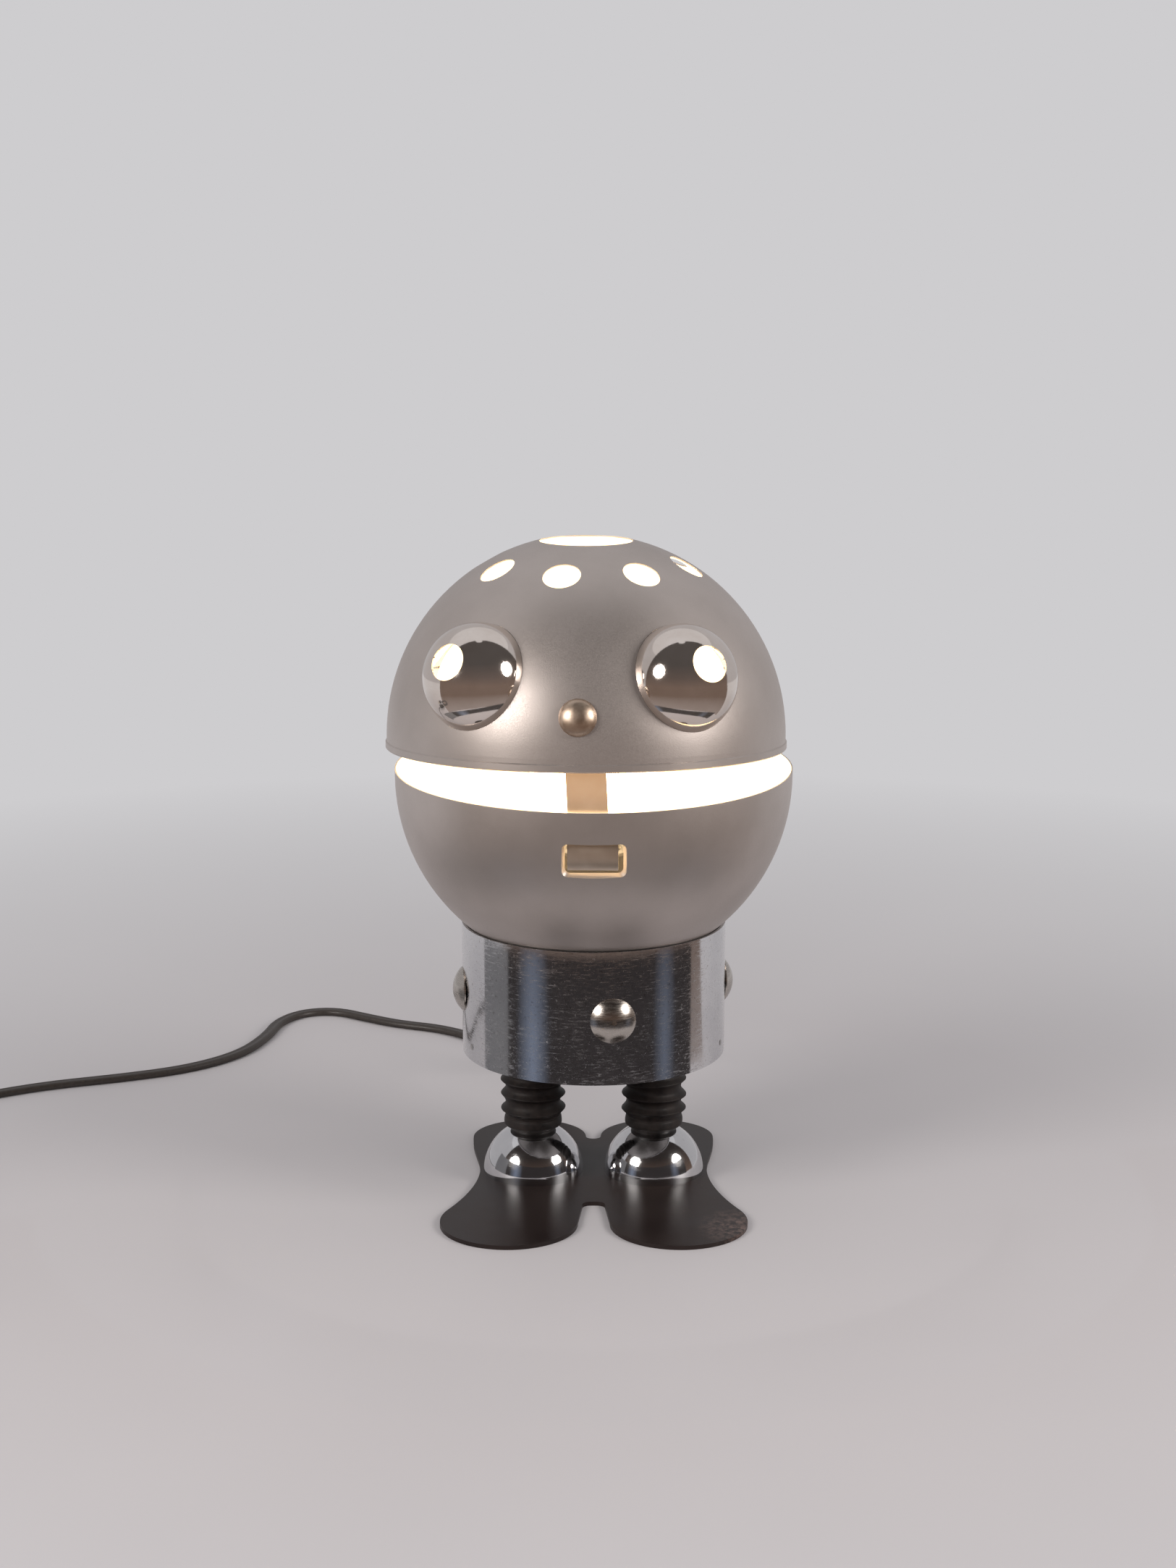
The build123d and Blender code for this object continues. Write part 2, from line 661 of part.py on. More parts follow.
def window_funnel(grow, deep, raised):
    """The tapering hole through the window down to a depth, grown by the sheet at its sides and bottom."""
    share = (deep + 1.5) / (WINDOW_LIP + 1.5)
    width = WINDOW_W + (WINDOW_INNER_W - WINDOW_W) * share
    rise = 1.6 * share
    with BuildPart() as funnel:
        with BuildSketch(WINDOW.offset(1.5)):
            with Locations((0, (raised - grow) / 2)):
                RectangleRounded(WINDOW_W + 2 * grow, WINDOW_H + grow + raised, 2.0)
        with BuildSketch(WINDOW.offset(-deep)):
            with Locations((0, (raised + rise - grow) / 2)):
                RectangleRounded(width + 2 * grow, WINDOW_H + grow + raised - rise, 2.0)
        loft()
    return funnel.part


with BuildPart() as window_lips:
    add(window_funnel(SHELL_T, WINDOW_LIP, 0))
    with Locations(LOWER.origin):
        Sphere(HEAD_R - SHELL_T / 2, mode=Mode.INTERSECT)

with BuildPart() as lower_shell:
    with BuildSketch(Plane.XZ.offset(0)):
        with BuildLine():
            CenterArc((0, LOWER_Z), HEAD_R, -90, 90)
            CenterArc((0, LOWER_Z), SHELL_IN, -90, 90)
            Polyline(
                (HEAD_R, LOWER_Z),
                (HEAD_R, LOWER_Z + LOWER_BAND),
                (SHELL_IN, LOWER_Z + LOWER_BAND),
                (SHELL_IN, LOWER_Z),
            )
            Line((0, LOWER_Z - HEAD_R), (0, LOWER_Z - SHELL_IN))
        make_face()
    revolve(axis=Axis.Z)
    with BuildSketch(LOWER_RIM):
        Rectangle(6 * HEAD_R, 6 * HEAD_R)
    extrude(amount=4 * LOWER_BAND, mode=Mode.SUBTRACT)
    add(window_lips.part)
    add(window_funnel(0, WINDOW_LIP + 0.5, 0.1), mode=Mode.SUBTRACT)
    with Locations((0, 0, LOWER_Z - HEAD_R + 4)):
        Hole(NIPPLE_R + 0.3, depth=8)
    for x in (-RIVET_X, RIVET_X):
        with BuildSketch(Plane(origin=(x, HEAD_R + 5, 143), x_dir=(1, 0, 0), z_dir=(0, 1, 0))):
            Circle(1.2)
        extrude(amount=-12, mode=Mode.SUBTRACT)
lower_shell.part.label = "lower_shell"
export_step(lower_shell.part, "parts/lower_shell.step")


# ---- Hinge: two leaves on the outside of the shells and a pin between the rims ----
def knuckle(start, end):
    """A hinge knuckle round the pin between two places along the hinge."""
    with BuildPart() as barrel:
        with BuildSketch(SIDE.offset(start)):
            with Locations((PIN_Y, PIN_Z)):
                Circle(KNUCKLE_R)
        extrude(amount=end - start)
    return barrel.part


def leaf_plate(frame, low, high, width):
    """A strip of sheet that lies on the outside of a shell, between two heights."""
    with BuildPart() as plate:
        with Locations(frame.origin):
            Sphere(HEAD_R + LEAF_T)
            Sphere(HEAD_R, mode=Mode.SUBTRACT)
        with Locations((0, HEAD_R, (low + high) / 2)):
            Box(width, 30, high - low, mode=Mode.INTERSECT)
    return plate.part


HALF_MIDDLE = MIDDLE_KNUCKLE_W / 2
TAIL_T = 3.6  # from the shell out to the knuckles' back
TAIL_Y = PIN_Y - KNUCKLE_R + LEAF_T - TAIL_T / 2
with BuildPart() as hinge_lower_leaf:
    add(leaf_plate(LOWER, 138.0, 149.0, LEAF_W))
    for start in (-LEAF_W / 2, HALF_MIDDLE + KNUCKLE_GAP):
        end = start + LEAF_W / 2 - HALF_MIDDLE - KNUCKLE_GAP
        add(knuckle(start, end))
        with Locations(((start + end) / 2, TAIL_Y, (147.5 + PIN_Z) / 2)):
            Box(end - start, TAIL_T, PIN_Z - 147.5)
    with Locations((0, 0, LOWER_Z)):
        Sphere(HEAD_R, mode=Mode.SUBTRACT)
    with Locations((0, 0, LOWER_Z + LOWER_BAND / 2)):
        Cylinder(HEAD_R, LOWER_BAND, mode=Mode.SUBTRACT)
    with BuildSketch(SIDE.offset(-LEAF_W)):
        with Locations((PIN_Y, PIN_Z)):
            Circle(PIN_R)
    extrude(amount=2 * LEAF_W, mode=Mode.SUBTRACT)
    for x in (-RIVET_X, RIVET_X):
        with BuildSketch(Plane(origin=(x, HEAD_R + 5, 143), x_dir=(1, 0, 0), z_dir=(0, 1, 0))):
            Circle(1.2)
        extrude(amount=-12, mode=Mode.SUBTRACT)
hinge_lower_leaf.part.label = "hinge_lower_leaf"
export_step(hinge_lower_leaf.part, "parts/hinge_lower_leaf.step")

with BuildPart() as hinge_pin:
    with BuildSketch(SIDE.offset(-LEAF_W / 2 - 1)):
        with Locations((PIN_Y, PIN_Z)):
            Circle(PIN_R)
    extrude(amount=LEAF_W + 2)
hinge_pin.part.label = "hinge_pin"
export_step(hinge_pin.part, "parts/hinge_pin.step")

UPPER_RIVET_Z = 171.5
UPPER_LEAF_LOW = 166.0
with BuildPart() as hinge_upper_leaf:
    add(leaf_plate(LID, UPPER_LEAF_LOW, 177.5, LEAF_W - 2))
    add(knuckle(-HALF_MIDDLE, HALF_MIDDLE))
    with Locations((0, TAIL_Y, (UPPER_LEAF_LOW + 1 + PIN_Z) / 2)):
        Box(MIDDLE_KNUCKLE_W, TAIL_T, UPPER_LEAF_LOW + 1 - PIN_Z)
    with Locations(LID.origin):
        Sphere(HEAD_R, mode=Mode.SUBTRACT)
    with BuildSketch(RIM.offset(-3 * BAND_H)):
        Circle(HEAD_R + BEAD_T + 0.1)
    extrude(amount=3 * BAND_H, mode=Mode.SUBTRACT)
    with Locations((0, 0, LOWER_Z + LOWER_BAND / 2)):
        Cylinder(HEAD_R + 0.15, LOWER_BAND, mode=Mode.SUBTRACT)
    with BuildSketch(SIDE.offset(-LEAF_W)):
        with Locations((PIN_Y, PIN_Z)):
            Circle(PIN_R + 0.05)
    extrude(amount=2 * LEAF_W, mode=Mode.SUBTRACT)
    for x in (-RIVET_X, RIVET_X):
        with BuildSketch(Plane(origin=(x, HEAD_R + 5, UPPER_RIVET_Z), x_dir=(1, 0, 0), z_dir=(0, 1, 0))):
            Circle(1.2)
        extrude(amount=-12, mode=Mode.SUBTRACT)
hinge_upper_leaf.part.label = "hinge_upper_leaf"
export_step(hinge_upper_leaf.part, "parts/hinge_upper_leaf.step")

for name, z, head_y in (("hinge_lower_rivets", 143.0, 70.8), ("hinge_upper_rivets", UPPER_RIVET_Z, 71.1)):
    with BuildPart() as rivets:
        for x in (-RIVET_X, RIVET_X):
            with BuildSketch(Plane(origin=(x, head_y, z), x_dir=(1, 0, 0), z_dir=(0, 1, 0))):
                Circle(2.3)
            extrude(amount=1.0)
            with BuildSketch(Plane(origin=(x, head_y, z), x_dir=(1, 0, 0), z_dir=(0, 1, 0))):
                Circle(1.2)
            extrude(amount=-4.2)
        fillet(rivets.edges().group_by(Axis.Y)[-1], 0.7)
    rivets.part.label = name
    export_step(rivets.part, f"parts/{name}.step")

# ---- Upper shell: a half ball with a beaded band, crown holes and eye seats ----
bead_r = HEAD_R + BEAD_T
with BuildPart() as upper_shell:
    with BuildSketch(upright(RIM)):
        with BuildLine():
            CenterArc((0, 0), HEAD_R, 0, 90)
            CenterArc((0, 0), SHELL_IN, 0, 90)
            Line((0, HEAD_R), (0, SHELL_IN))
            Polyline(
                (HEAD_R, 0),
                (HEAD_R, BEAD_H - BAND_H),
                (bead_r, BEAD_H - BAND_H - BEAD_T),
                (bead_r, BEAD_T - BAND_H),
                (HEAD_R, -BAND_H),
                (SHELL_IN, -BAND_H),
                (SHELL_IN, 0),
            )
        make_face()
    revolve(axis=axis_of(RIM))
    with BuildSketch(LID.offset(HEAD_R + 5)):
        Circle(CROWN_HOLE_R)
    extrude(amount=-20, mode=Mode.SUBTRACT)
    for number in range(CROWN_RING_COUNT):
        azimuth = CROWN_RING_TURN + number * 360 / CROWN_RING_COUNT
        with BuildSketch(ball_plane(LID, azimuth, 90 - CROWN_RING_ANGLE, HEAD_R + 3)):
            Circle(CROWN_RING_HOLE_R)
        extrude(amount=-8, mode=Mode.SUBTRACT)
    for azimuth in (-EYE_AZIMUTH, EYE_AZIMUTH):
        with BuildSketch(ball_plane(LID, azimuth, EYE_ELEVATION, HEAD_R + 3)):
            Circle(EYE_R)
        extrude(amount=-10, mode=Mode.SUBTRACT)
    with BuildSketch(ball_plane(LID, 0, NOSE_ELEVATION, HEAD_R + 3)):
        Circle(2.0)
    extrude(amount=-6, mode=Mode.SUBTRACT)
    for x in (-RIVET_X, RIVET_X):
        with BuildSketch(Plane(origin=(x, HEAD_R + 5, UPPER_RIVET_Z), x_dir=(1, 0, 0), z_dir=(0, 1, 0))):
            Circle(1.2)
        extrude(amount=-12, mode=Mode.SUBTRACT)
upper_shell.part.label = "upper_shell"
export_step(upper_shell.part, "parts/upper_shell.step")

# ---- Eyes: chrome domes with a pupil hole, crimped in their seats ----
EYE_T = 0.7
for side, azimuth in (("left", -EYE_AZIMUTH), ("right", EYE_AZIMUTH)):
    seat = ball_plane(LID, azimuth, EYE_ELEVATION, EYE_SEAT)
    with BuildPart() as eye:
        with BuildSketch(upright(seat)):
            with BuildLine():
                dome = CenterArc((0, 0), EYE_R, 0, degrees(acos(PUPIL_R / EYE_R)))
                inside = CenterArc((0, 0), EYE_R - EYE_T, 0, degrees(acos(PUPIL_R / (EYE_R - EYE_T))))
                Line(dome @ 1, inside @ 1)
                Polyline(dome @ 0, (EYE_R + 1.0, 0), (EYE_R + 1.0, -0.6), (EYE_R - EYE_T, -0.6), inside @ 0)
            make_face()
        revolve(axis=axis_of(seat))
    eye.part.label = f"eye_{side}"
    export_step(eye.part, f"parts/eye_{side}.step")

# ---- Nose: a domed button whose stem also holds the catch ----
nose_seat = sqrt(HEAD_R**2 - NOSE_R**2)
stem_seat = sqrt(HEAD_R**2 - 4) - nose_seat
NOSE = ball_plane(LID, 0, NOSE_ELEVATION, nose_seat)
with BuildPart() as nose:
    with BuildSketch(Plane.XZ):
        with BuildLine():
            Polyline((0, NOSE_H), (0, -6.5), (2.0, -6.5), (2.0, stem_seat))
            ThreePointArc((2.0, stem_seat), (4.2, sqrt(HEAD_R**2 - 4.2**2) - nose_seat), (NOSE_R, 0))
            Line((NOSE_R, 0), (NOSE_R, 0.4))
            Spline(
                (NOSE_R, 0.4),
                (NOSE_R * 0.68, NOSE_H * 0.72),
                (0, NOSE_H),
                tangents=((-0.3, 1), (-1, 0)),
            )
        make_face()
    revolve(axis=Axis.Z)
nose_button = nose.part.moved(NOSE.location)
nose_button.label = "nose"
export_step(nose_button, "parts/nose.step")

ANCHOR_T = 0.8
with BuildPart() as nose_nut:
    with BuildSketch(ball_plane(LID, 0, NOSE_ELEVATION, SHELL_IN - ANCHOR_T - 0.13)):
        RegularPolygon(3.5, 6, major_radius=False)
        Circle(2.0, mode=Mode.SUBTRACT)
    extrude(amount=-2.8)
nose_nut.part.label = "nose_nut"
export_step(nose_nut.part, "parts/nose_nut.step")

ANCHOR_LOW = 177.5
ANCHOR_MIDDLE = 183.0
with BuildPart() as catch_anchor:
    with Locations(LID.origin):
        Sphere(SHELL_IN)
        Sphere(SHELL_IN - ANCHOR_T, mode=Mode.SUBTRACT)
    with BuildSketch(Plane(origin=LID.origin + LID.z_dir * (ANCHOR_MIDDLE - UPPER_Z), x_dir=LID.x_dir, z_dir=-LID.y_dir)):
        RectangleRounded(STRIP_W, 2 * (ANCHOR_MIDDLE - ANCHOR_LOW), 1.5)
    extrude(amount=HEAD_R, mode=Mode.INTERSECT)
    with BuildSketch(NOSE.offset(2)):
        Circle(2.0)
    extrude(amount=-8, mode=Mode.SUBTRACT)
catch_anchor.part.label = "catch_anchor"
export_step(catch_anchor.part, "parts/catch_anchor.step")

# ---- Catch: a spring strip from the lid to the push tab in the chin window ----
# Its side profile is drawn in the lid's plane of symmetry, as (depth, height) from the lid's centre.
slant = radians(STRIP_SLANT)
STRIP_TOP = ANCHOR_LOW - 0.3 - UPPER_Z
strip_r = SHELL_IN - 1.6
strip_in = strip_r - STRIP_T
TAB_TOP, TAB_MIDDLE, TAB_BOTTOM = (-66.4, -24.1), (-67.0, -28.7), (-65.7, -33.6)
STRIP_LOW = (-66.6, -23.3)


def strip_profile(top, bottom, outline):
    """A closed side profile from an outer line, with the sheet's thickness behind it."""
    with BuildSketch(LID_SIDE) as profile:
        with BuildLine():
            outer = outline(0)
            inner = outline(STRIP_T)
            Line(top, (top[0] + STRIP_T, top[1]))
            Line(bottom, (bottom[0] + STRIP_T, bottom[1]))
        make_face()
    return profile.sketch


def strip_line(back):
    """The strip beside the shells: an arc, then a straight stretch to the tab."""
    start = (-sqrt(strip_r**2 - STRIP_TOP**2) + back, STRIP_TOP)
    middle = (-sqrt(strip_r**2 - 4.0**2) + back, 4.0)
    low = (-strip_r + 0.15 + back, -5.0)
    ThreePointArc(start, middle, low)
    Polyline(low, (-67.7 + back, -14.3), (STRIP_LOW[0] + back, STRIP_LOW[1]))
    return start


def tab_line(back):
    """The tab's bulge."""
    ThreePointArc(
        (TAB_TOP[0] + back, TAB_TOP[1]),
        (TAB_MIDDLE[0] + back, TAB_MIDDLE[1]),
        (TAB_BOTTOM[0] + back, TAB_BOTTOM[1]),
    )


strip_start = (-sqrt(strip_r**2 - STRIP_TOP**2), STRIP_TOP)
strip_face = strip_profile(strip_start, STRIP_LOW, strip_line)
tab_face = strip_profile(TAB_TOP, TAB_BOTTOM, tab_line)
TAB_X = 4.9  # the tab's middle, to the viewer's right of the lid's plane of symmetry
with BuildPart() as catch_strip:
    extrude(strip_face, amount=30, both=True)
    strip_front = Plane(origin=LID.origin, x_dir=LID.x_dir, z_dir=-LID.y_dir)
    with BuildSketch(strip_front):
        with BuildLine():
            top_x = 1.9
            low_z = STRIP_LOW[1] - 0.5
            low_x = top_x + (STRIP_TOP - low_z) * tan(slant)
            Polyline(
                (top_x - STRIP_W / 2, STRIP_TOP + 2),
                (top_x + STRIP_W / 2, STRIP_TOP + 2),
                (low_x + STRIP_W / 2, low_z),
                (low_x - STRIP_W / 2, low_z),
                close=True,
            )
        make_face()
    extrude(amount=HEAD_R + 5, mode=Mode.INTERSECT)
    with BuildPart(mode=Mode.PRIVATE) as tab:
        extrude(tab_face, amount=30, both=True)
        with BuildSketch(strip_front):
            with Locations((TAB_X, (TAB_TOP[1] + TAB_BOTTOM[1]) / 2)):
                RectangleRounded(TAB_W, TAB_TOP[1] - TAB_BOTTOM[1] + 1.2, 1.2)
        extrude(amount=HEAD_R + 5, mode=Mode.INTERSECT)
    add(tab.part)
    with BuildSketch(Plane(origin=LID.origin, x_dir=LID.x_dir, z_dir=-LID.y_dir).offset(64)):
        with Locations((TAB_X, TAB_TOP[1] + 0.6)):
            Rectangle(STRIP_W, 2.2)
    extrude(amount=2.2)
catch_strip.part.label = "catch_strip"
export_step(catch_strip.part, "parts/catch_strip.step")


# ---- Cord: the flex as tubes, and one solid for its coil ----
def make_flex(route, name):
    """A tube along straight runs joined by tangent arcs. Prints its radii, length and volume."""
    radii = arc_radii(route)
    with BuildPart() as flex:
        with BuildLine():
            path = FilletPolyline(*route, radius=radii)
        with BuildSketch(Plane(origin=path @ 0, z_dir=path % 0)):
            Circle(CORD_R)
        sweep(path=path)
    expected = pi * CORD_R**2 * path.length
    print(f"{name}: {path.length:.1f} mm, volume {flex.part.volume / expected:.4f} of expected")
    print("  radii", [round(r, 1) for r in radii])
    flex.part.label = name
    export_step(flex.part, f"parts/{name}.step")
    flexes[name] = flex
    return path.length


flexes = {}
lead_length = make_flex(LEAD_ROUTE, "cord_lead")
link_length = make_flex(LINK_ROUTE, "cord_link")
tail_length = make_flex(TAIL_ROUTE, "cord_tail")
coil_w = COIL_TURNS_WIDE * 2 * CORD_R
coil_h = COIL_TURNS_HIGH * FLEX_T
COIL = Plane(origin=(*COIL_CENTRE, 0))
with BuildPart() as cord_coil:
    with BuildSketch(upright(COIL)):
        with Locations((COIL_MEAN_R, coil_h / 2)):
            RectangleRounded(coil_w, coil_h, 1.3)
    revolve(axis=axis_of(COIL))
    add(flexes["cord_link"].part, mode=Mode.SUBTRACT)
    add(flexes["cord_tail"].part, mode=Mode.SUBTRACT)
cord_coil.part.label = "cord_coil"
export_step(cord_coil.part, "parts/cord_coil.step")
coil_length = COIL_TURNS_WIDE * COIL_TURNS_HIGH * 2 * pi * COIL_MEAN_R
print(f"flex {lead_length + link_length + tail_length + coil_length:.0f} mm in all")

# ---- Inline switch: two halves, a rocker and two screws ----
switch_mid = (SWITCH_Y[0] + SWITCH_Y[1]) / 2
switch_len = SWITCH_Y[0] - SWITCH_Y[1]
SEAM_Z = SWITCH_H / 2
ROCKER_PIVOT_Z = 11.0
SWITCH_SIDE = Plane(origin=(SWITCH_X, switch_mid, 0), x_dir=(0, 1, 0), z_dir=(1, 0, 0))
screw_places = [(SWITCH_X, switch_mid - 21), (SWITCH_X, switch_mid + 21)]


def switch_body(low, high):
    """One half of the housing, hollow, with its share of the cord's entries."""
    with BuildPart() as half:
        with BuildSketch(Plane.XY):
            with Locations((SWITCH_X, switch_mid)):
                RectangleRounded(SWITCH_W, switch_len, 7)
        extrude(amount=SWITCH_H)
        fillet(half.edges().group_by(Axis.Z)[-1], 3.0)
        fillet(half.edges().group_by(Axis.Z)[0], 1.5)
        with BuildSketch(Plane.XY.offset(1.6)):
            with Locations((SWITCH_X, switch_mid)):
                RectangleRounded(SWITCH_W - 4, 32, 3)
        extrude(amount=SWITCH_H - 3.4, mode=Mode.SUBTRACT)
        with BuildSketch(Plane.XZ.offset(-switch_mid)):
            with Locations((SWITCH_X, SWITCH_CORD_Z)):
                Circle(CORD_R)
        extrude(amount=switch_len, both=True, mode=Mode.SUBTRACT)
        with BuildSketch(Plane.XY.offset(low)):
            with Locations((SWITCH_X, switch_mid)):
                Rectangle(2 * SWITCH_W, 2 * switch_len)
        extrude(amount=high - low, mode=Mode.INTERSECT)
    return half.part


with BuildPart() as switch_lower_half:
    add(switch_body(0, SEAM_Z))
    with BuildSketch(Plane.XY.offset(SEAM_Z)):
        with Locations(*screw_places):
            Circle(1.3)
    extrude(amount=-6, mode=Mode.SUBTRACT)
switch_lower_half.part.label = "switch_lower_half"
export_step(switch_lower_half.part, "parts/switch_lower_half.step")

with BuildPart() as switch_upper_half:
    add(switch_body(SEAM_Z, SWITCH_H))
    with BuildSketch(Plane.XY.offset(SWITCH_H + 1)):
        with Locations((SWITCH_X, switch_mid)):
            Rectangle(9.0, 18.0)
    extrude(amount=-6, mode=Mode.SUBTRACT)
    with BuildSketch(Plane.XY.offset(SWITCH_H + 1)):
        with Locations(*screw_places):
            Circle(1.3)
    extrude(amount=-SWITCH_H, mode=Mode.SUBTRACT)
    with BuildSketch(Plane.XY.offset(SWITCH_H + 1)):
        with Locations(*screw_places):
            Circle(2.4)
    extrude(amount=-3.0, mode=Mode.SUBTRACT)
switch_upper_half.part.label = "switch_upper_half"
export_step(switch_upper_half.part, "parts/switch_upper_half.step")

with BuildPart() as switch_screws:
    with BuildSketch(Plane.XY.offset(SWITCH_H - 2)):
        with Locations(*screw_places):
            Circle(2.4)
    extrude(amount=1.4)
    with BuildSketch(Plane.XY.offset(SWITCH_H - 2)):
        with Locations(*screw_places):
            Circle(1.3)
    extrude(amount=-10)
    for _, y in screw_places:
        with BuildSketch(Plane.XY.offset(SWITCH_H - 0.6)):
            with Locations((SWITCH_X, y)):
                Rectangle(3.6, 0.7)
        extrude(amount=-0.7, mode=Mode.SUBTRACT)
switch_screws.part.label = "switch_screws"
export_step(switch_screws.part, "parts/switch_screws.step")

with BuildPart() as switch_rocker:
    with BuildSketch(SWITCH_SIDE):
        with BuildLine():
            Polyline((-7.2, ROCKER_PIVOT_Z + 3.2), (-7.0, SWITCH_H + 0.9), (0, SWITCH_H + 0.3))
            Polyline((0, SWITCH_H + 0.3), (7.0, SWITCH_H + 0.9), (7.2, ROCKER_PIVOT_Z + 3.2))
            ThreePointArc((7.2, ROCKER_PIVOT_Z + 3.2), (0, ROCKER_PIVOT_Z - 4.0), (-7.2, ROCKER_PIVOT_Z + 3.2))
        make_face()
    extrude(amount=4.1, both=True)
    fillet(switch_rocker.edges().filter_by(Axis.X).group_by(Axis.Z)[-1], 0.6)
rocker_axis = Axis((SWITCH_X, switch_mid, ROCKER_PIVOT_Z), (1, 0, 0))
rocker = switch_rocker.part.rotate(rocker_axis, ROCKER_TILT)
rocker.label = "switch_rocker"
export_step(rocker, "parts/switch_rocker.step")

# ---- Plug: a flat two-pin plug lying beside the coil ----
PLUG_X = TAIL_ROUTE[-1][0]
with BuildPart() as plug_body:
    with BuildSketch(Plane.XZ.offset(-PLUG_BACK_Y)):
        with Locations((PLUG_X, PLUG_H / 2)):
            RectangleRounded(12, 9, 3.5)
    with BuildSketch(Plane.XZ.offset(-PLUG_BACK_Y - 14)):
        with Locations((PLUG_X, PLUG_H / 2)):
            RectangleRounded(PLUG_W - 1, PLUG_H - 0.6, 5)
    with BuildSketch(Plane.XZ.offset(-PLUG_BACK_Y - PLUG_L)):
        with Locations((PLUG_X, PLUG_H / 2)):
            RectangleRounded(PLUG_W, PLUG_H, 5)
    loft(ruled=True)
    pin_plane = Plane.XZ.offset(-PLUG_BACK_Y - PLUG_L)
    with BuildSketch(pin_plane):
        with Locations((PLUG_X - PLUG_PIN_SPACING / 2, PLUG_H / 2), (PLUG_X + PLUG_PIN_SPACING / 2, PLUG_H / 2)):
            Circle(PLUG_PIN_R)
    extrude(amount=8, mode=Mode.SUBTRACT)
    with BuildSketch(Plane.XZ.offset(-PLUG_BACK_Y)):
        with Locations((PLUG_X, PLUG_H / 2)):
            Circle(CORD_R)
    extrude(amount=-6, mode=Mode.SUBTRACT)
plug_body.part.label = "plug_body"
export_step(plug_body.part, "parts/plug_body.step")

with BuildPart() as plug_pins:
    with BuildSketch(pin_plane.offset(8)):
        with Locations((PLUG_X - PLUG_PIN_SPACING / 2, PLUG_H / 2), (PLUG_X + PLUG_PIN_SPACING / 2, PLUG_H / 2)):
            Circle(PLUG_PIN_R)
    extrude(amount=-8 - PLUG_PIN_L)
    fillet(plug_pins.edges().group_by(Axis.Y)[-1], 1.2)
plug_pins.part.label = "plug_pins"
export_step(plug_pins.part, "parts/plug_pins.step")
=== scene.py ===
"""Robot shaped desk lamp: materials, soft pieces, cord, stage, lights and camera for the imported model."""

import json
import logging
import math
from collections.abc import Callable
from dataclasses import dataclass
from enum import Enum

import bmesh
import bpy
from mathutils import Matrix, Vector

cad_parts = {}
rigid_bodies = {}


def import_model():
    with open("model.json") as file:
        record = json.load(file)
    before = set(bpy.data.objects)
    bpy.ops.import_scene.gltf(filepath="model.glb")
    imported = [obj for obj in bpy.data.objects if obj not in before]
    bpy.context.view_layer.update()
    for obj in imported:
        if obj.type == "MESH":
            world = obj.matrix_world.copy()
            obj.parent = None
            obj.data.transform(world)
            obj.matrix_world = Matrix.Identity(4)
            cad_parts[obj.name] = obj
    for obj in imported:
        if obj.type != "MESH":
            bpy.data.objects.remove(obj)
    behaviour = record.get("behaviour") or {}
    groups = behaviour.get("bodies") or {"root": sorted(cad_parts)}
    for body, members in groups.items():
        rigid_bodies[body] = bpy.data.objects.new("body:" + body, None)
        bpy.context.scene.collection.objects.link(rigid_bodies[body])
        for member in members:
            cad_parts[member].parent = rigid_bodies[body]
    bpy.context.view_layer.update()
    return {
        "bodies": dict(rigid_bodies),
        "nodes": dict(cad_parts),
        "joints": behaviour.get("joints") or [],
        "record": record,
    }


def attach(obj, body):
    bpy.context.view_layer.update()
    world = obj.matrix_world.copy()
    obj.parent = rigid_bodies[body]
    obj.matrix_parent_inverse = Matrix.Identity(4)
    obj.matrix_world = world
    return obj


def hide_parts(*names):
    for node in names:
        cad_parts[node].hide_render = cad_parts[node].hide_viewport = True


log = logging.getLogger("lamp")

MM = 0.001


class Slot(str, Enum):
    """The record's material slots that new pieces take their finish from."""

    RUBBER = "black_rubber"
    FLEX = "flex"


@dataclass(frozen=True)
class Colour:
    """A linear colour."""

    red: float
    green: float
    blue: float

    def rgba(self, alpha: float = 1.0) -> tuple[float, float, float, float]:
        """Gives the colour as four numbers.

        Args:
            alpha: The fourth number.

        Returns:
            Red, green, blue and alpha.
        """
        return (self.red, self.green, self.blue, alpha)

    def scaled(self, factor: float) -> "Colour":
        """Gives a lighter or darker copy.

        Args:
            factor: What each channel is multiplied by.

        Returns:
            The new colour.
        """
        return Colour(self.red * factor, self.green * factor, self.blue * factor)


@dataclass(frozen=True)
class Ball:
    """A shell's ball: its centre in metres and the radius that parts its inside from its outside."""

    centre: tuple[float, float, float]
    inside: float


LOWER_BALL = Ball((0.0, 0.0, 0.1513), 0.0696)
UPPER_BALL = Ball((-0.00265, 0.00006, 0.1651), 0.0696)
WARM = Colour(1.0, 0.80, 0.52)
INNER_PAINTED_GLOW = 0.85
WINDOW_CENTRE = (0.0, -0.0665, 0.1340)
WINDOW_REACH = 0.0150
TOE_CENTRE = (0.051, -0.052, 0.0)


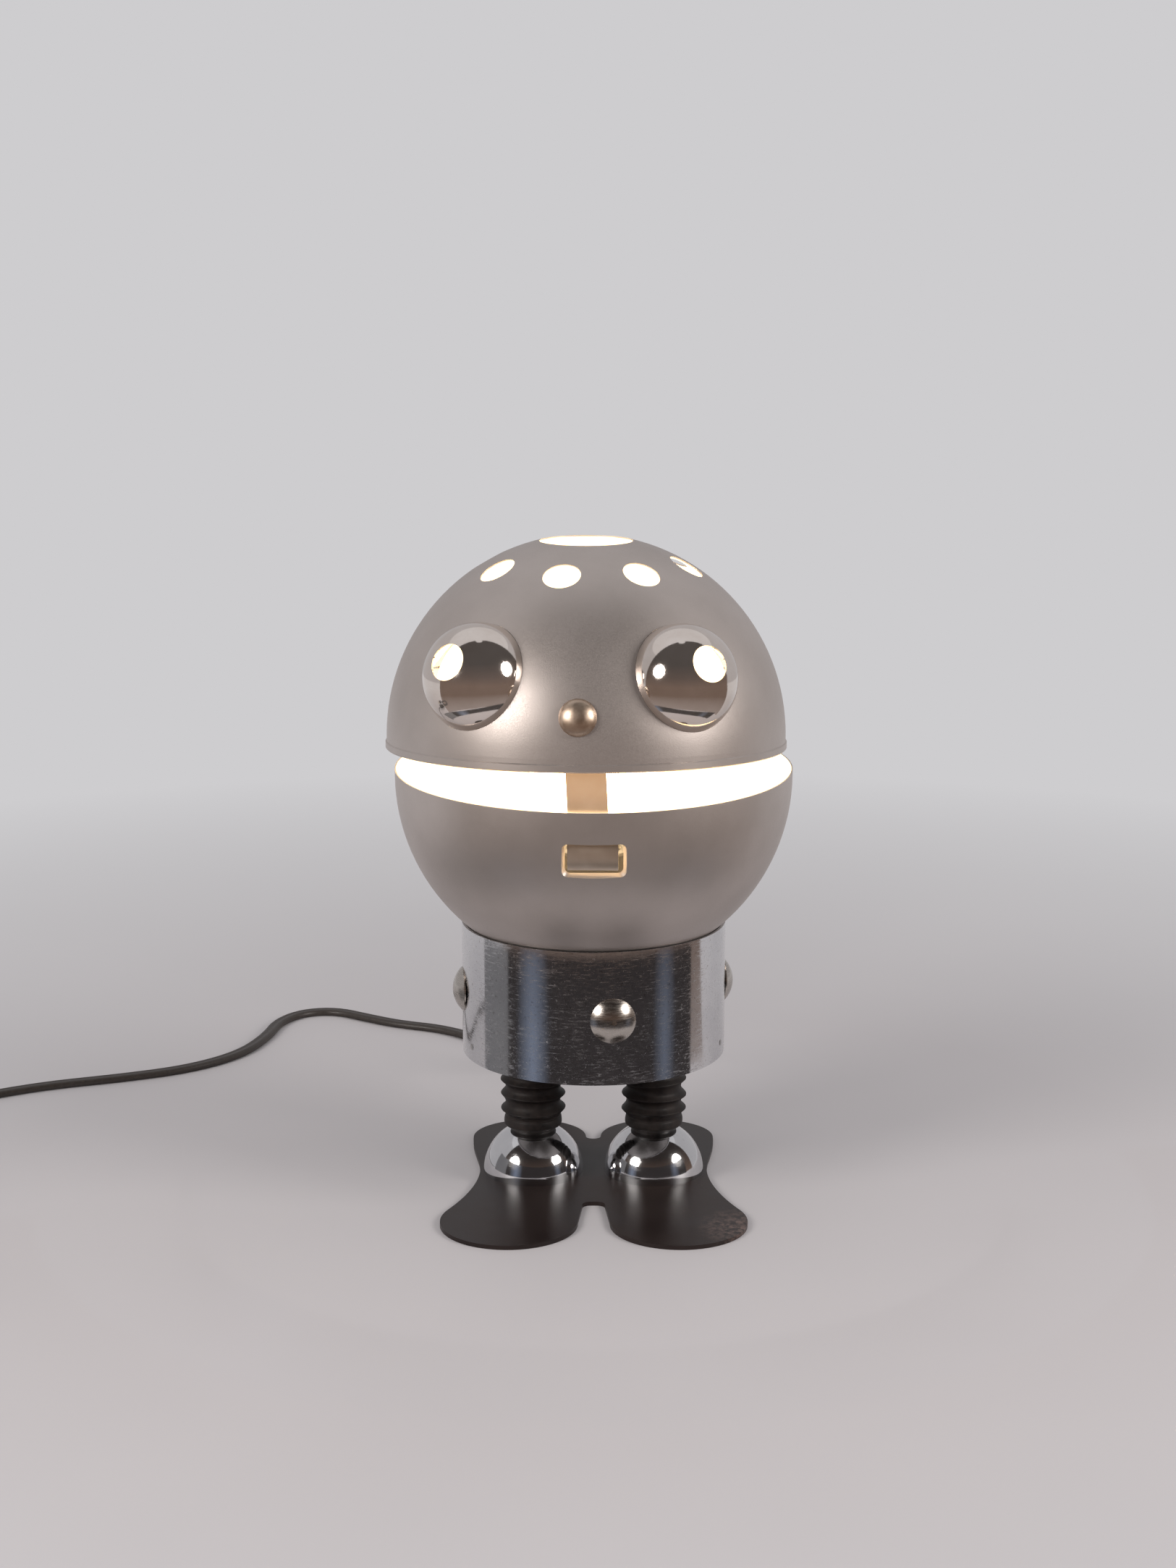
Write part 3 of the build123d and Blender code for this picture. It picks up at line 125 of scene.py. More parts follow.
class Surface:
    """Builds one procedural material on Object coordinates."""

    def __init__(self, name: str) -> None:
        """Starts a material with a Principled shader.

        Args:
            name: The material's name.
        """
        self.material = bpy.data.materials.new(name)
        self.material.use_nodes = True
        self.tree = self.material.node_tree
        self.shader = self.tree.nodes["Principled BSDF"]
        self.place = self.tree.nodes.new("ShaderNodeTexCoord").outputs["Object"]

    def set(self, **values: float | tuple) -> "Surface":
        """Sets plain values on the shader's own sockets.

        Args:
            **values: Socket names with underscores for spaces, and their values.

        Returns:
            This surface, so that calls can be chained.
        """
        for key, value in values.items():
            self.shader.inputs[key.replace("_", " ")].default_value = value
        return self

    def link(self, source: bpy.types.NodeSocket, target: bpy.types.NodeSocket) -> None:
        """Joins two sockets.

        Args:
            source: The output.
            target: The input.
        """
        self.tree.links.new(source, target)

    def stretched(self, scale: tuple[float, float, float]) -> bpy.types.NodeSocket:
        """Gives the coordinates scaled along each axis.

        Args:
            scale: One factor for each axis.

        Returns:
            The coordinate output.
        """
        node = self.tree.nodes.new("ShaderNodeMapping")
        node.inputs["Scale"].default_value = scale
        self.link(self.place, node.inputs["Vector"])
        return node.outputs["Vector"]

    def height(self) -> bpy.types.NodeSocket:
        """Gives how high a point is.

        Returns:
            The height output, in metres.
        """
        node = self.tree.nodes.new("ShaderNodeSeparateXYZ")
        self.link(self.place, node.inputs["Vector"])
        return node.outputs["Z"]

    def noise(
        self,
        scale: float,
        detail: float = 3.0,
        rough: float = 0.55,
        place: bpy.types.NodeSocket | None = None,
    ) -> bpy.types.NodeSocket:
        """Adds a noise texture.

        Args:
            scale: How many features fit in a metre.
            detail: How many octaves it has.
            rough: How strong the finer octaves are.
            place: Coordinates other than the plain ones.

        Returns:
            The noise's value output.
        """
        node = self.tree.nodes.new("ShaderNodeTexNoise")
        node.inputs["Scale"].default_value = scale
        node.inputs["Detail"].default_value = detail
        node.inputs["Roughness"].default_value = rough
        self.link(place or self.place, node.inputs["Vector"])
        return node.outputs["Fac"]

    def ramp(self, value: bpy.types.NodeSocket, stops: list[tuple[float, Colour]]) -> bpy.types.NodeSocket:
        """Turns a value into a colour.

        Args:
            value: The value output.
            stops: Positions from 0 to 1 with their colours.

        Returns:
            The colour output.
        """
        node = self.tree.nodes.new("ShaderNodeValToRGB")
        elements = node.color_ramp.elements
        while len(elements) < len(stops):
            elements.new(0.5)
        for element, (position, colour) in zip(elements, stops):
            element.position = position
            element.color = colour.rgba()
        self.link(value, node.inputs["Fac"])
        return node.outputs["Color"]

    def remap(
        self,
        value: bpy.types.NodeSocket,
        source: tuple[float, float],
        target: tuple[float, float],
    ) -> bpy.types.NodeSocket:
        """Maps one range of a value to another, clamped.

        Args:
            value: The value output.
            source: The range that goes in.
            target: The range that comes out.

        Returns:
            The mapped output.
        """
        node = self.tree.nodes.new("ShaderNodeMapRange")
        for socket, number in zip(node.inputs[1:5], (*source, *target)):
            socket.default_value = number
        self.link(value, node.inputs["Value"])
        return node.outputs["Result"]

    def math(
        self,
        operation: str,
        first: bpy.types.NodeSocket | float,
        second: bpy.types.NodeSocket | float,
    ) -> bpy.types.NodeSocket:
        """Adds a Math node.

        Args:
            operation: Blender's name of the operation.
            first: An output or a number.
            second: An output or a number.

        Returns:
            The result output.
        """
        node = self.tree.nodes.new("ShaderNodeMath")
        node.operation = operation
        for socket, value in zip(node.inputs, (first, second)):
            if isinstance(value, (int, float)):
                socket.default_value = value
            else:
                self.link(value, socket)
        return node.outputs["Value"]

    def mix(
        self,
        factor: bpy.types.NodeSocket,
        first: bpy.types.NodeSocket | Colour,
        second: bpy.types.NodeSocket | Colour,
    ) -> bpy.types.NodeSocket:
        """Blends two colours.

        Args:
            factor: The output that says how much of the second there is.
            first: A colour or an output.
            second: A colour or an output.

        Returns:
            The blended colour output.
        """
        node = self.tree.nodes.new("ShaderNodeMix")
        node.data_type = "RGBA"
        self.link(factor, node.inputs[0])
        for socket, value in zip((node.inputs[6], node.inputs[7]), (first, second)):
            if isinstance(value, Colour):
                socket.default_value = value.rgba()
            else:
                self.link(value, socket)
        return node.outputs[2]

    def distance(
        self,
        centre: tuple[float, float, float],
        squash: tuple[float, float, float] = (1.0, 1.0, 1.0),
    ) -> bpy.types.NodeSocket:
        """Measures how far a point is from a centre, with each axis weighted.

        Args:
            centre: The centre in metres.
            squash: The weight of each axis.

        Returns:
            The distance output.
        """
        offset = self.tree.nodes.new("ShaderNodeVectorMath")
        offset.operation = "SUBTRACT"
        self.link(self.place, offset.inputs[0])
        offset.inputs[1].default_value = centre
        weighted = self.tree.nodes.new("ShaderNodeVectorMath")
        weighted.operation = "MULTIPLY"
        self.link(offset.outputs[0], weighted.inputs[0])
        weighted.inputs[1].default_value = squash
        length = self.tree.nodes.new("ShaderNodeVectorMath")
        length.operation = "LENGTH"
        self.link(weighted.outputs[0], length.inputs[0])
        return length.outputs["Value"]

    def bump(self, height: bpy.types.NodeSocket, depth: float, strength: float = 1.0) -> "Surface":
        """Adds relief.

        Args:
            height: The height output.
            depth: The relief's depth in metres.
            strength: How much of it shows.

        Returns:
            This surface.
        """
        node = self.tree.nodes.new("ShaderNodeBump")
        node.inputs["Strength"].default_value = strength
        node.inputs["Distance"].default_value = depth
        self.link(height, node.inputs["Height"])
        self.link(node.outputs["Normal"], self.shader.inputs["Normal"])
        return self

    def colour(self, source: bpy.types.NodeSocket) -> "Surface":
        """Links the base colour.

        Args:
            source: The colour output.

        Returns:
            This surface.
        """
        self.link(source, self.shader.inputs["Base Color"])
        return self

    def rough(self, source: bpy.types.NodeSocket) -> "Surface":
        """Links the roughness.

        Args:
            source: The value output.

        Returns:
            This surface.
        """
        self.link(source, self.shader.inputs["Roughness"])
        return self


class Finish:
    """The lamp's materials, each made once."""

    def __init__(self) -> None:
        """Makes every material."""
        self.lower = self._shell("satin_lower_painted_glow", LOWER_BALL, window=True)
        self.upper = self._shell("satin_upper_painted_glow", UPPER_BALL, window=False)
        self.eye = self._eye()
        self.chrome = self._chrome("chrome_bright", 0.05, 0.25)
        self.worn_chrome = self._chrome("chrome_pitted", 0.06, 1.0)
        self.bronze = self._bronze()
        self.button = self._steel("button_steel", Colour(0.55, 0.51, 0.47), 0.24)
        self.spring = self._spring_painted_glow()
        self.steel = self._steel("plain_steel", Colour(0.48, 0.47, 0.46), 0.38)
        self.plate = self._plate()
        self.rubber = self._rubber()
        self.flex = self._plastic("flex_brown", Colour(0.030, 0.023, 0.019), 0.42, 900.0)
        self.housing = self._plastic("housing_brown", Colour(0.026, 0.021, 0.018), 0.35, 400.0)
        self.rocker = self._plastic("rocker_gloss", Colour(0.05, 0.045, 0.04), 0.2, 200.0)
        self.brass = self._steel("brass_plain", Colour(0.72, 0.53, 0.26), 0.3)
        self.glass = self._glass()
        self.wire = self._wire()

    @staticmethod
    def _shell(name: str, ball: Ball, window: bool) -> bpy.types.Material:
        """Satin metal outside and white enamel inside, with a painted warm glow (emission) on the enamel in
        place of the bulb's light.

        Args:
            name: The material's name.
            ball: The shell's ball.
            window: Whether the chin window's lips stay bare metal, without the painted glow.

        Returns:
            The material.
        """
        made = Surface(name)
        outside = made.math("GREATER_THAN", made.distance(ball.centre), ball.inside)
        if window:
            lips = made.math("LESS_THAN", made.distance(WINDOW_CENTRE, (1.0, 0.6, 1.5)), WINDOW_REACH)
            outside = made.math("MAXIMUM", outside, lips)
        cloudy = made.noise(26.0, 4.0)
        grain = made.noise(2600.0, 2.0)
        metal = made.mix(
            made.remap(cloudy, (0.3, 0.7), (0.0, 1.0)),
            Colour(0.43, 0.385, 0.36),
            Colour(0.51, 0.46, 0.435),
        )
        made.colour(made.mix(outside, Colour(0.80, 0.74, 0.64), metal))
        made.link(made.math("MULTIPLY", outside, 0.80), made.shader.inputs["Metallic"])
        made.rough(made.remap(grain, (0.3, 0.7), (0.37, 0.49)))
        made.bump(grain, 0.00006, 0.35)
        # Painted light: the inside enamel emits warm light, standing in for the bulb lighting it.
        made.link(
            made.mix(outside, WARM, Colour(0.0, 0.0, 0.0)),
            made.shader.inputs["Emission Color"],
        )
        if window:
            # Painted glow on the lower shell's inside, fading towards the bottom.
            strength = made.remap(made.height(), (0.100, 0.142), (0.03, INNER_PAINTED_GLOW))
            made.link(strength, made.shader.inputs["Emission Strength"])
        return made.set(Emission_Strength=INNER_PAINTED_GLOW).material

    @staticmethod
    def _eye() -> bpy.types.Material:
        """Darker metal of the eye domes, with a fine grain.

        Returns:
            The material.
        """
        made = Surface("eye_metal")
        cloudy = made.noise(70.0, 4.0)
        grain = made.noise(2200.0, 2.0)
        made.colour(made.ramp(cloudy, [(0.3, Colour(0.72, 0.64, 0.58)), (0.7, Colour(0.84, 0.77, 0.72))]))
        made.rough(made.remap(grain, (0.3, 0.7), (0.06, 0.10)))
        made.bump(grain, 0.00001, 0.2)
        return made.set(Metallic=0.95).material

    @staticmethod
    def _chrome(name: str, rough: float, wear: float) -> bpy.types.Material:
        """Chrome plate with fine pits, dull specks and a broad haze.

        Args:
            name: The material's name.
            rough: The least roughness.
            wear: How strong the pits and scratches are.

        Returns:
            The material.
        """
        made = Surface(name)
        pits = made.noise(900.0, 6.0, 0.7)
        haze = made.noise(55.0, 5.0, 0.6)
        scratch = made.noise(260.0, 4.0, 0.65, made.stretched((1.0, 1.0, 7.0)))
        dull = made.math(
            "MAXIMUM",
            made.remap(scratch, (0.50, 0.70), (0.0, 0.26 * wear)),
            made.remap(pits, (0.57, 0.69), (0.0, 0.30 * wear)),
        )
        spots = made.remap(pits, (0.30, 0.42), (0.75 * wear, 0.0))
        clouded = made.ramp(haze, [(0.3, Colour(0.66, 0.66, 0.68)), (0.7, Colour(0.76, 0.76, 0.77))])
        made.colour(made.mix(spots, clouded, Colour(0.16, 0.12, 0.10)))
        base = made.remap(haze, (0.35, 0.75), (rough, rough + 0.03 + 0.05 * wear))
        made.rough(made.math("ADD", base, dull))
        made.bump(scratch, 0.00001, 0.08 + 0.3 * wear)
        return made.set(
            Metallic=1.0,
            Coat_Weight=0.2 + 0.5 * wear,
            Coat_Roughness=0.30,
            Coat_IOR=1.5,
        ).material

    @staticmethod
    def _bronze() -> bpy.types.Material:
        """Dark polished bronze.

        Returns:
            The material.
        """
        made = Surface("bronze")
        cloudy = made.noise(500.0, 4.0)
        made.colour(made.ramp(cloudy, [(0.3, Colour(0.56, 0.43, 0.33)), (0.7, Colour(0.68, 0.55, 0.44))]))
        made.rough(made.remap(cloudy, (0.3, 0.7), (0.36, 0.44)))
        made.bump(made.noise(3000.0, 2.0), 0.00003, 0.3)
        return made.set(Metallic=1.0).material

    @staticmethod
    def _steel(name: str, colour: Colour, rough: float) -> bpy.types.Material:
        """Plain sheet or turned metal.

        Args:
            name: The material's name.
            colour: Its colour.
            rough: Its middle roughness.

        Returns:
            The material.
        """
        made = Surface(name)
        lines = made.noise(320.0, 3.0, 0.6, made.stretched((1.0, 1.0, 9.0)))
        made.colour(made.ramp(lines, [(0.3, colour.scaled(0.82)), (0.7, colour.scaled(1.08))]))
        made.rough(made.remap(lines, (0.3, 0.7), (rough - 0.06, rough + 0.08)))
        made.bump(lines, 0.00002, 0.3)
        return made.set(Metallic=1.0).material

    @staticmethod
    def _spring_painted_glow() -> bpy.types.Material:
        """Spring sheet with a painted warm glow (emission) in place of the bulb's light on it.

        Returns:
            The material.
        """
        made = Surface("spring_steel")
        cloudy = made.noise(140.0, 3.0)
        made.colour(made.ramp(cloudy, [(0.3, Colour(0.58, 0.50, 0.42)), (0.7, Colour(0.66, 0.58, 0.50))]))
        made.rough(made.remap(cloudy, (0.3, 0.7), (0.30, 0.38)))
        # Painted light: emission on the strip, stronger towards its top.
        strength = made.remap(made.height(), (0.140, 0.158), (0.02, 0.42))
        made.link(strength, made.shader.inputs["Emission Strength"])
        return made.set(Metallic=0.9, Emission_Color=(1.0, 0.56, 0.26, 1.0)).material

    @staticmethod
    def _plate() -> bpy.types.Material:
        """Black satin lacquer with a rubbed toe.

        Returns:
            The material.
        """
        made = Surface("black_lacquer")
        cloudy = made.noise(35.0, 5.0)
        black = made.ramp(cloudy, [(0.3, Colour(0.012, 0.0075, 0.007)), (0.7, Colour(0.024, 0.016, 0.014))])
        toe = made.remap(made.distance(TOE_CENTRE, (1.0, 0.8, 1.0)), (0.003, 0.016), (1.0, 0.0))
        scuffs = made.remap(made.noise(420.0, 6.0, 0.75), (0.44, 0.62), (0.0, 0.8))
        rubbed = made.math("MULTIPLY", toe, scuffs)
        flecks = made.remap(made.noise(900.0, 3.0, 0.6), (0.70, 0.78), (0.0, 0.5))
        worn = made.math("MAXIMUM", rubbed, flecks)
        made.colour(made.mix(worn, black, Colour(0.15, 0.10, 0.085)))
        made.rough(made.remap(cloudy, (0.3, 0.7), (0.30, 0.42)))
        made.bump(made.noise(1300.0, 3.0), 0.00004, 0.35)
        return made.set(Specular_IOR_Level=0.22).material

    @staticmethod
    def _rubber() -> bpy.types.Material:
        """Old black rubber, dusty on the ribs.

        Returns:
            The material.
        """
        made = Surface("old_rubber")
        dust = made.noise(260.0, 6.0, 0.7)
        black, grey = Colour(0.006, 0.004, 0.004), Colour(0.026, 0.018, 0.015)
        made.colour(made.ramp(dust, [(0.35, black), (0.75, grey)]))
        made.rough(made.remap(dust, (0.3, 0.7), (0.45, 0.68)))
        made.bump(made.noise(900.0, 4.0), 0.00010, 0.5)
        return made.set(Specular_IOR_Level=0.3).material

    @staticmethod
    def _plastic(name: str, colour: Colour, rough: float, grain: float) -> bpy.types.Material:
        """Moulded plastic.

        Args:
            name: The material's name.
            colour: Its colour.
            rough: Its middle roughness.
            grain: How fine its texture is.

        Returns:
            The material.
        """
        made = Surface(name)
        cloudy = made.noise(grain, 3.0)
        made.colour(made.ramp(cloudy, [(0.3, colour.scaled(0.8)), (0.7, colour.scaled(1.25))]))
        made.rough(made.remap(cloudy, (0.3, 0.7), (rough - 0.05, rough + 0.08)))
        made.bump(made.noise(grain * 3.0, 2.0), 0.00004, 0.3)
        return made.material

    @staticmethod
    def _glass() -> bpy.types.Material:
        """Clear glass with the bulb's glow.

        Returns:
            The material.
        """
        made = Surface("lit_glass")
        streak = made.noise(40.0, 2.0)
        made.rough(made.remap(streak, (0.3, 0.7), (0.02, 0.06)))
        return made.set(
            Base_Color=(1.0, 0.97, 0.92, 1.0),
            Transmission_Weight=0.85,
            IOR=1.3,
            Emission_Color=WARM.rgba(),
            Emission_Strength=2.4,
        ).material

    @staticmethod
    def _wire() -> bpy.types.Material:
        """The glowing filament.

        Returns:
            The material.
        """
        made = Surface("filament_glow")
        made.rough(made.remap(made.noise(500.0), (0.3, 0.7), (0.4, 0.6)))
        return made.set(
            Base_Color=(1.0, 0.8, 0.5, 1.0),
            Emission_Color=(1.0, 0.72, 0.38, 1.0),
            Emission_Strength=12.0,
        ).material


def assign(node: bpy.types.Object, material: bpy.types.Material) -> None:
    """Gives an object one material.

    Args:
        node: The object.
        material: The material.
    """
    node.data.materials.clear()
    node.data.materials.append(material)


def soften(node: bpy.types.Object, width: float, segments: int = 2) -> None:
    """Rounds an object's sharp edges with modifiers.

    Args:
        node: The object.
        width: The rounding's width in metres.
        segments: How many steps the rounding has.
    """
    bevel = node.modifiers.new("soft_edges", "BEVEL")
    bevel.width = width
    bevel.segments = segments
    bevel.limit_method = "ANGLE"
    bevel.angle_limit = math.radians(40)
    bevel.harden_normals = True


def new_object(name: str, mesh: bmesh.types.BMesh, material: bpy.types.Material) -> bpy.types.Object:
    """Turns a bmesh into a smooth object.

    Args:
        name: The object's name.
        mesh: The bmesh, which is freed.
        material: Its material.

    Returns:
        The object.
    """
    data = bpy.data.meshes.new(name)
    bmesh.ops.recalc_face_normals(mesh, faces=mesh.faces)
    mesh.to_mesh(data)
    mesh.free()
    data.polygons.foreach_set("use_smooth", [True] * len(data.polygons))
    made = bpy.data.objects.new(name, data)
    bpy.context.scene.collection.objects.link(made)
    assign(made, material)
    return made


def catmull(points: list[tuple[float, float]], steps: int) -> list[tuple[float, float]]:
    """Rounds a profile with a Catmull-Rom curve.

    Args:
        points: The profile's points.
        steps: How many steps each stretch gets.

    Returns:
        The finer profile.
    """
    fine = []
    padded = [points[0], *points, points[-1]]
    for a, b, c, d in zip(padded, padded[1:], padded[2:], padded[3:]):
        for step in range(steps):
            t = step / steps
            fine.append(
                tuple(
                    0.5
                    * (
                        2 * q
                        + (r - p) * t
                        + (2 * p - 5 * q + 4 * r - s) * t * t
                        + (3 * q - p - 3 * r + s) * t * t * t
                    )
                    for p, q, r, s in zip(a, b, c, d)
                )
            )
    fine.append(points[-1])
    return fine


class Bellows:
    """A leg's rubber bellows, with ribs that aren't all alike."""

    RIB_R = 11.75
    VALLEY_R = 9.95
    FIRST = 25.5
    PITCH = 5.45
    RIBS = 5
    AROUND = 96
    WIDEST = 11.8
    LEG_X = 22.0
    LEG_Y = 6.5

    def __init__(self, side: str, x: float, seed: float) -> None:
        """Settles one leg.

        Args:
            side: Which leg it is.
            x: Where it stands.
            seed: What makes its ribs differ.
        """
        self.side = side
        self.x = x
        self.seed = seed

    def profile(self) -> list[tuple[float, float]]:
        """The outer profile, in millimetres.

        Returns:
            Radius and height pairs, from the neck up.
        """
        points = [(6.7, 13.6), (8.1, 13.6), (8.15, 17.4), (8.9, 18.5), (10.3, 19.6)]
        points += [(10.5, 21.0), (10.3, 22.4)]
        for rib in range(self.RIBS):
            middle = self.FIRST + rib * self.PITCH
            points.append((self.VALLEY_R, middle - 2.7))
            points.append((self.VALLEY_R + 0.35, middle - 1.5))
            points.append((self.RIB_R - 0.35, middle - 0.35))
            points.append((self.RIB_R, middle + 0.1))
            points.append((self.RIB_R - 0.45, middle + 0.6))
            points.append((self.VALLEY_R + 0.3, middle + 1.7))
        points += [(self.VALLEY_R, 50.2), (self.VALLEY_R, 52.4), (8.7, 52.4)]
        return points

    def build(self, material: bpy.types.Material) -> bpy.types.Object:
        """Makes the bellows and puts it in its node's place.

        Args:
            material: The rubber.

        Returns:
            The piece.
        """
        mesh = bmesh.new()
        rings = []
        for radius, height in catmull(self.profile(), 3):
            ring = []
            for number in range(self.AROUND):
                angle = 2 * math.pi * number / self.AROUND
                lift = 0.0
                if 24.0 < height < 50.0:
                    lift = 0.28 * math.sin(angle + self.seed + 0.5 * height)
                    lift += 0.12 * math.sin(2 * angle + 2.1 * self.seed + height)
                wobble = radius * (1 + 0.006 * math.sin(3 * angle + self.seed + height * 0.8))
                reach = min(wobble, self.WIDEST)
                ring.append(
                    mesh.verts.new(
                        (
                            (self.x + reach * math.cos(angle)) * MM,
                            (self.LEG_Y + reach * math.sin(angle)) * MM,
                            (height + lift) * MM,
                        )
                    )
                )
            rings.append(ring)
        for low, high in zip(rings, rings[1:]):
            for number in range(self.AROUND):
                after = (number + 1) % self.AROUND
                mesh.faces.new((low[number], low[after], high[after], high[number]))
        foot = [edge for edge in mesh.edges if edge.is_boundary and edge.verts[0] in rings[0]]
        bmesh.ops.contextual_create(mesh, geom=foot)
        made = new_object(f"bellows_{self.side}", mesh, material)
        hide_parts(f"leg_bellows_{self.side}")
        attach(made, "stand")
        return made


LEAD_ROUTE = [
    (0.0, 0.068, 0.0625),
    (0.0, 0.080, 0.0625),
    (-0.002, 0.093, 0.055),
    (-0.006, 0.102, 0.040),
    (-0.012, 0.110, 0.023),
    (-0.020, 0.122, 0.009),
    (-0.032, 0.142, 0.00155),
    (-0.046, 0.165, 0.00145),
    (-0.064, 0.182, 0.00145),
    (-0.084, 0.189, 0.00145),
    (-0.099, 0.199, 0.00145),
    (-0.113, 0.209, 0.00145),
    (-0.128, 0.206, 0.00145),
    (-0.137, 0.191, 0.00145),
    (-0.139, 0.172, 0.00145),
    (-0.147, 0.146, 0.00145),
    (-0.166, 0.126, 0.00145),
    (-0.192, 0.114, 0.00145),
    (-0.221, 0.104, 0.00145),
    (-0.247, 0.088, 0.00145),
    (-0.263, 0.063, 0.0022),
    (-0.268, 0.040, 0.0050),
    (-0.268, 0.018, 0.0050),
]
LINK_ROUTE = [
    (-0.268, -0.028, 0.0050),
    (-0.2675, -0.040, 0.0044),
    (-0.2660, -0.052, 0.0022),
    (-0.2645, -0.062, 0.00145),
]
TAIL_ROUTE = [
    (-0.3300, -0.062, 0.0042),
    (-0.3285, -0.052, 0.0047),
    (-0.327, -0.041, 0.0070),
    (-0.327, -0.030, 0.0070),
]
COIL_CENTRE = (-0.2975, -0.0750)
FLEX_WIDTH = 0.0052
FLEX_THICK = 0.0028


def coil_route() -> list[tuple[float, float, float]]:
    """The coil's turns: three side by side on the floor, and three on top of them.

    Returns:
        The spline's points, from the link's side to the tail's.
    """
    inner, pitch, per_turn, turns = 0.0240, 0.0051, 16, 5.57
    radii = [inner + 2 * pitch, inner + pitch, inner, inner, inner + pitch, inner + 2 * pitch]
    points = []
    total = int(per_turn * turns)
    for step in range(1, total):
        turn = (step - 0.5) / per_turn
        place = min(turn / turns * 6.0, 5.999)
        low = int(place)
        part = place - low
        ease = max(0.0, (part - 0.72) / 0.28)
        following = radii[min(low + 1, 5)]
        radius = radii[low] + (following - radii[low]) * ease * ease * (3 - 2 * ease)
        layer = 0.0 if place < 2.72 else min(1.0, (place - 2.72) / 0.28)
        sway = 0.00035 * math.sin(2.3 * turn * math.pi + 0.6) + 0.00025 * math.sin(0.9 * turn * math.pi + 2.0)
        angle = 0.42 - 2 * math.pi * turn
        reach = (radius + sway) * 1.019
        points.append(
            (
                COIL_CENTRE[0] + reach * math.cos(angle),
                COIL_CENTRE[1] + reach * math.sin(angle),
                0.00145 + 0.0027 * layer,
            )
        )
    return points


class Cord:
    """Makes the flat twin flex as curves of one open spline each."""

    def __init__(self, material: bpy.types.Material) -> None:
        """Makes the profile that both curves share.

        Args:
            material: The flex's material.
        """
        self.material = material
        shape = bpy.data.curves.new("flex_profile", "CURVE")
        shape.dimensions = "2D"
        spline = shape.splines.new("POLY")
        outline = self._outline()
        spline.points.add(len(outline) - 1)
        for point, (across, up) in zip(spline.points, outline):
            point.co = (across, up, 0.0, 1.0)
        spline.use_cyclic_u = True
        self.profile = bpy.data.objects.new("flex_profile", shape)
        bpy.context.scene.collection.objects.link(self.profile)
        self.profile.hide_render = True

    @staticmethod
    def _outline() -> list[tuple[float, float]]:
        """Two round cores side by side with a shallow groove between them.

        Returns:
            The profile's points.
        """
        core = FLEX_THICK / 2
        centre = FLEX_WIDTH / 2 - core
        points = []
        for side, start in ((1, -120), (-1, 60)):
            for step in range(13):
                angle = math.radians(start + 240 * step / 12)
                points.append((side * centre + core * math.cos(angle), core * math.sin(angle)))
        return points

    def make(self, name: str, route: list[tuple[float, float, float]]) -> bpy.types.Object:
        """Makes one length of flex.

        Args:
            name: The piece's name.
            route: The spline's points in metres.

        Returns:
            The curve.
        """
        curve = bpy.data.curves.new(name, "CURVE")
        curve.dimensions = "3D"
        spline = curve.splines.new("NURBS")
        spline.points.add(len(route) - 1)
        for point, place in zip(spline.points, route):
            point.co = (*place, 1.0)
        spline.order_u = 3
        spline.use_endpoint_u = True
        spline.resolution_u = 5
        spline.use_smooth = True
        curve.twist_mode = "Z_UP"
        curve.bevel_mode = "OBJECT"
        curve.bevel_object = self.profile
        curve.use_fill_caps = True
        curve.materials.append(self.material)
        made = bpy.data.objects.new(name, curve)
        bpy.context.scene.collection.objects.link(made)
        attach(made, "stand")
        return made


@dataclass(frozen=True)
class Patch:
    """A screen round the lamp: part of a dome, of a tube, or of a ring on the floor."""

    radius: float
    around: tuple[float, float]
    heights: tuple[float, float]
    dome: bool = False
    outer: float = 0.0

    def add(self, mesh: bmesh.types.BMesh) -> None:
        """Adds the screen's faces.

        Args:
            mesh: The mesh that they go into.
        """
        steps, rises = 32, 12
        low, high = self.heights
        rings = []
        for rise in range(rises + 1):
            part = rise / rises
            height = low + (high - low) * part
            reach = self.radius
            if self.dome:
                reach = math.sqrt(max(self.radius**2 - height**2, 0.0))
            elif self.outer:
                reach = self.radius + (self.outer - self.radius) * part
            ring = []
            for step in range(steps + 1):
                angle = math.radians(self.around[0] + (self.around[1] - self.around[0]) * step / steps)
                ring.append(mesh.verts.new((reach * math.sin(angle), -reach * math.cos(angle), height)))
            rings.append(ring)
        for lower, upper in zip(rings, rings[1:]):
            for step in range(steps):
                mesh.faces.new((lower[step], lower[step + 1], upper[step + 1], upper[step]))


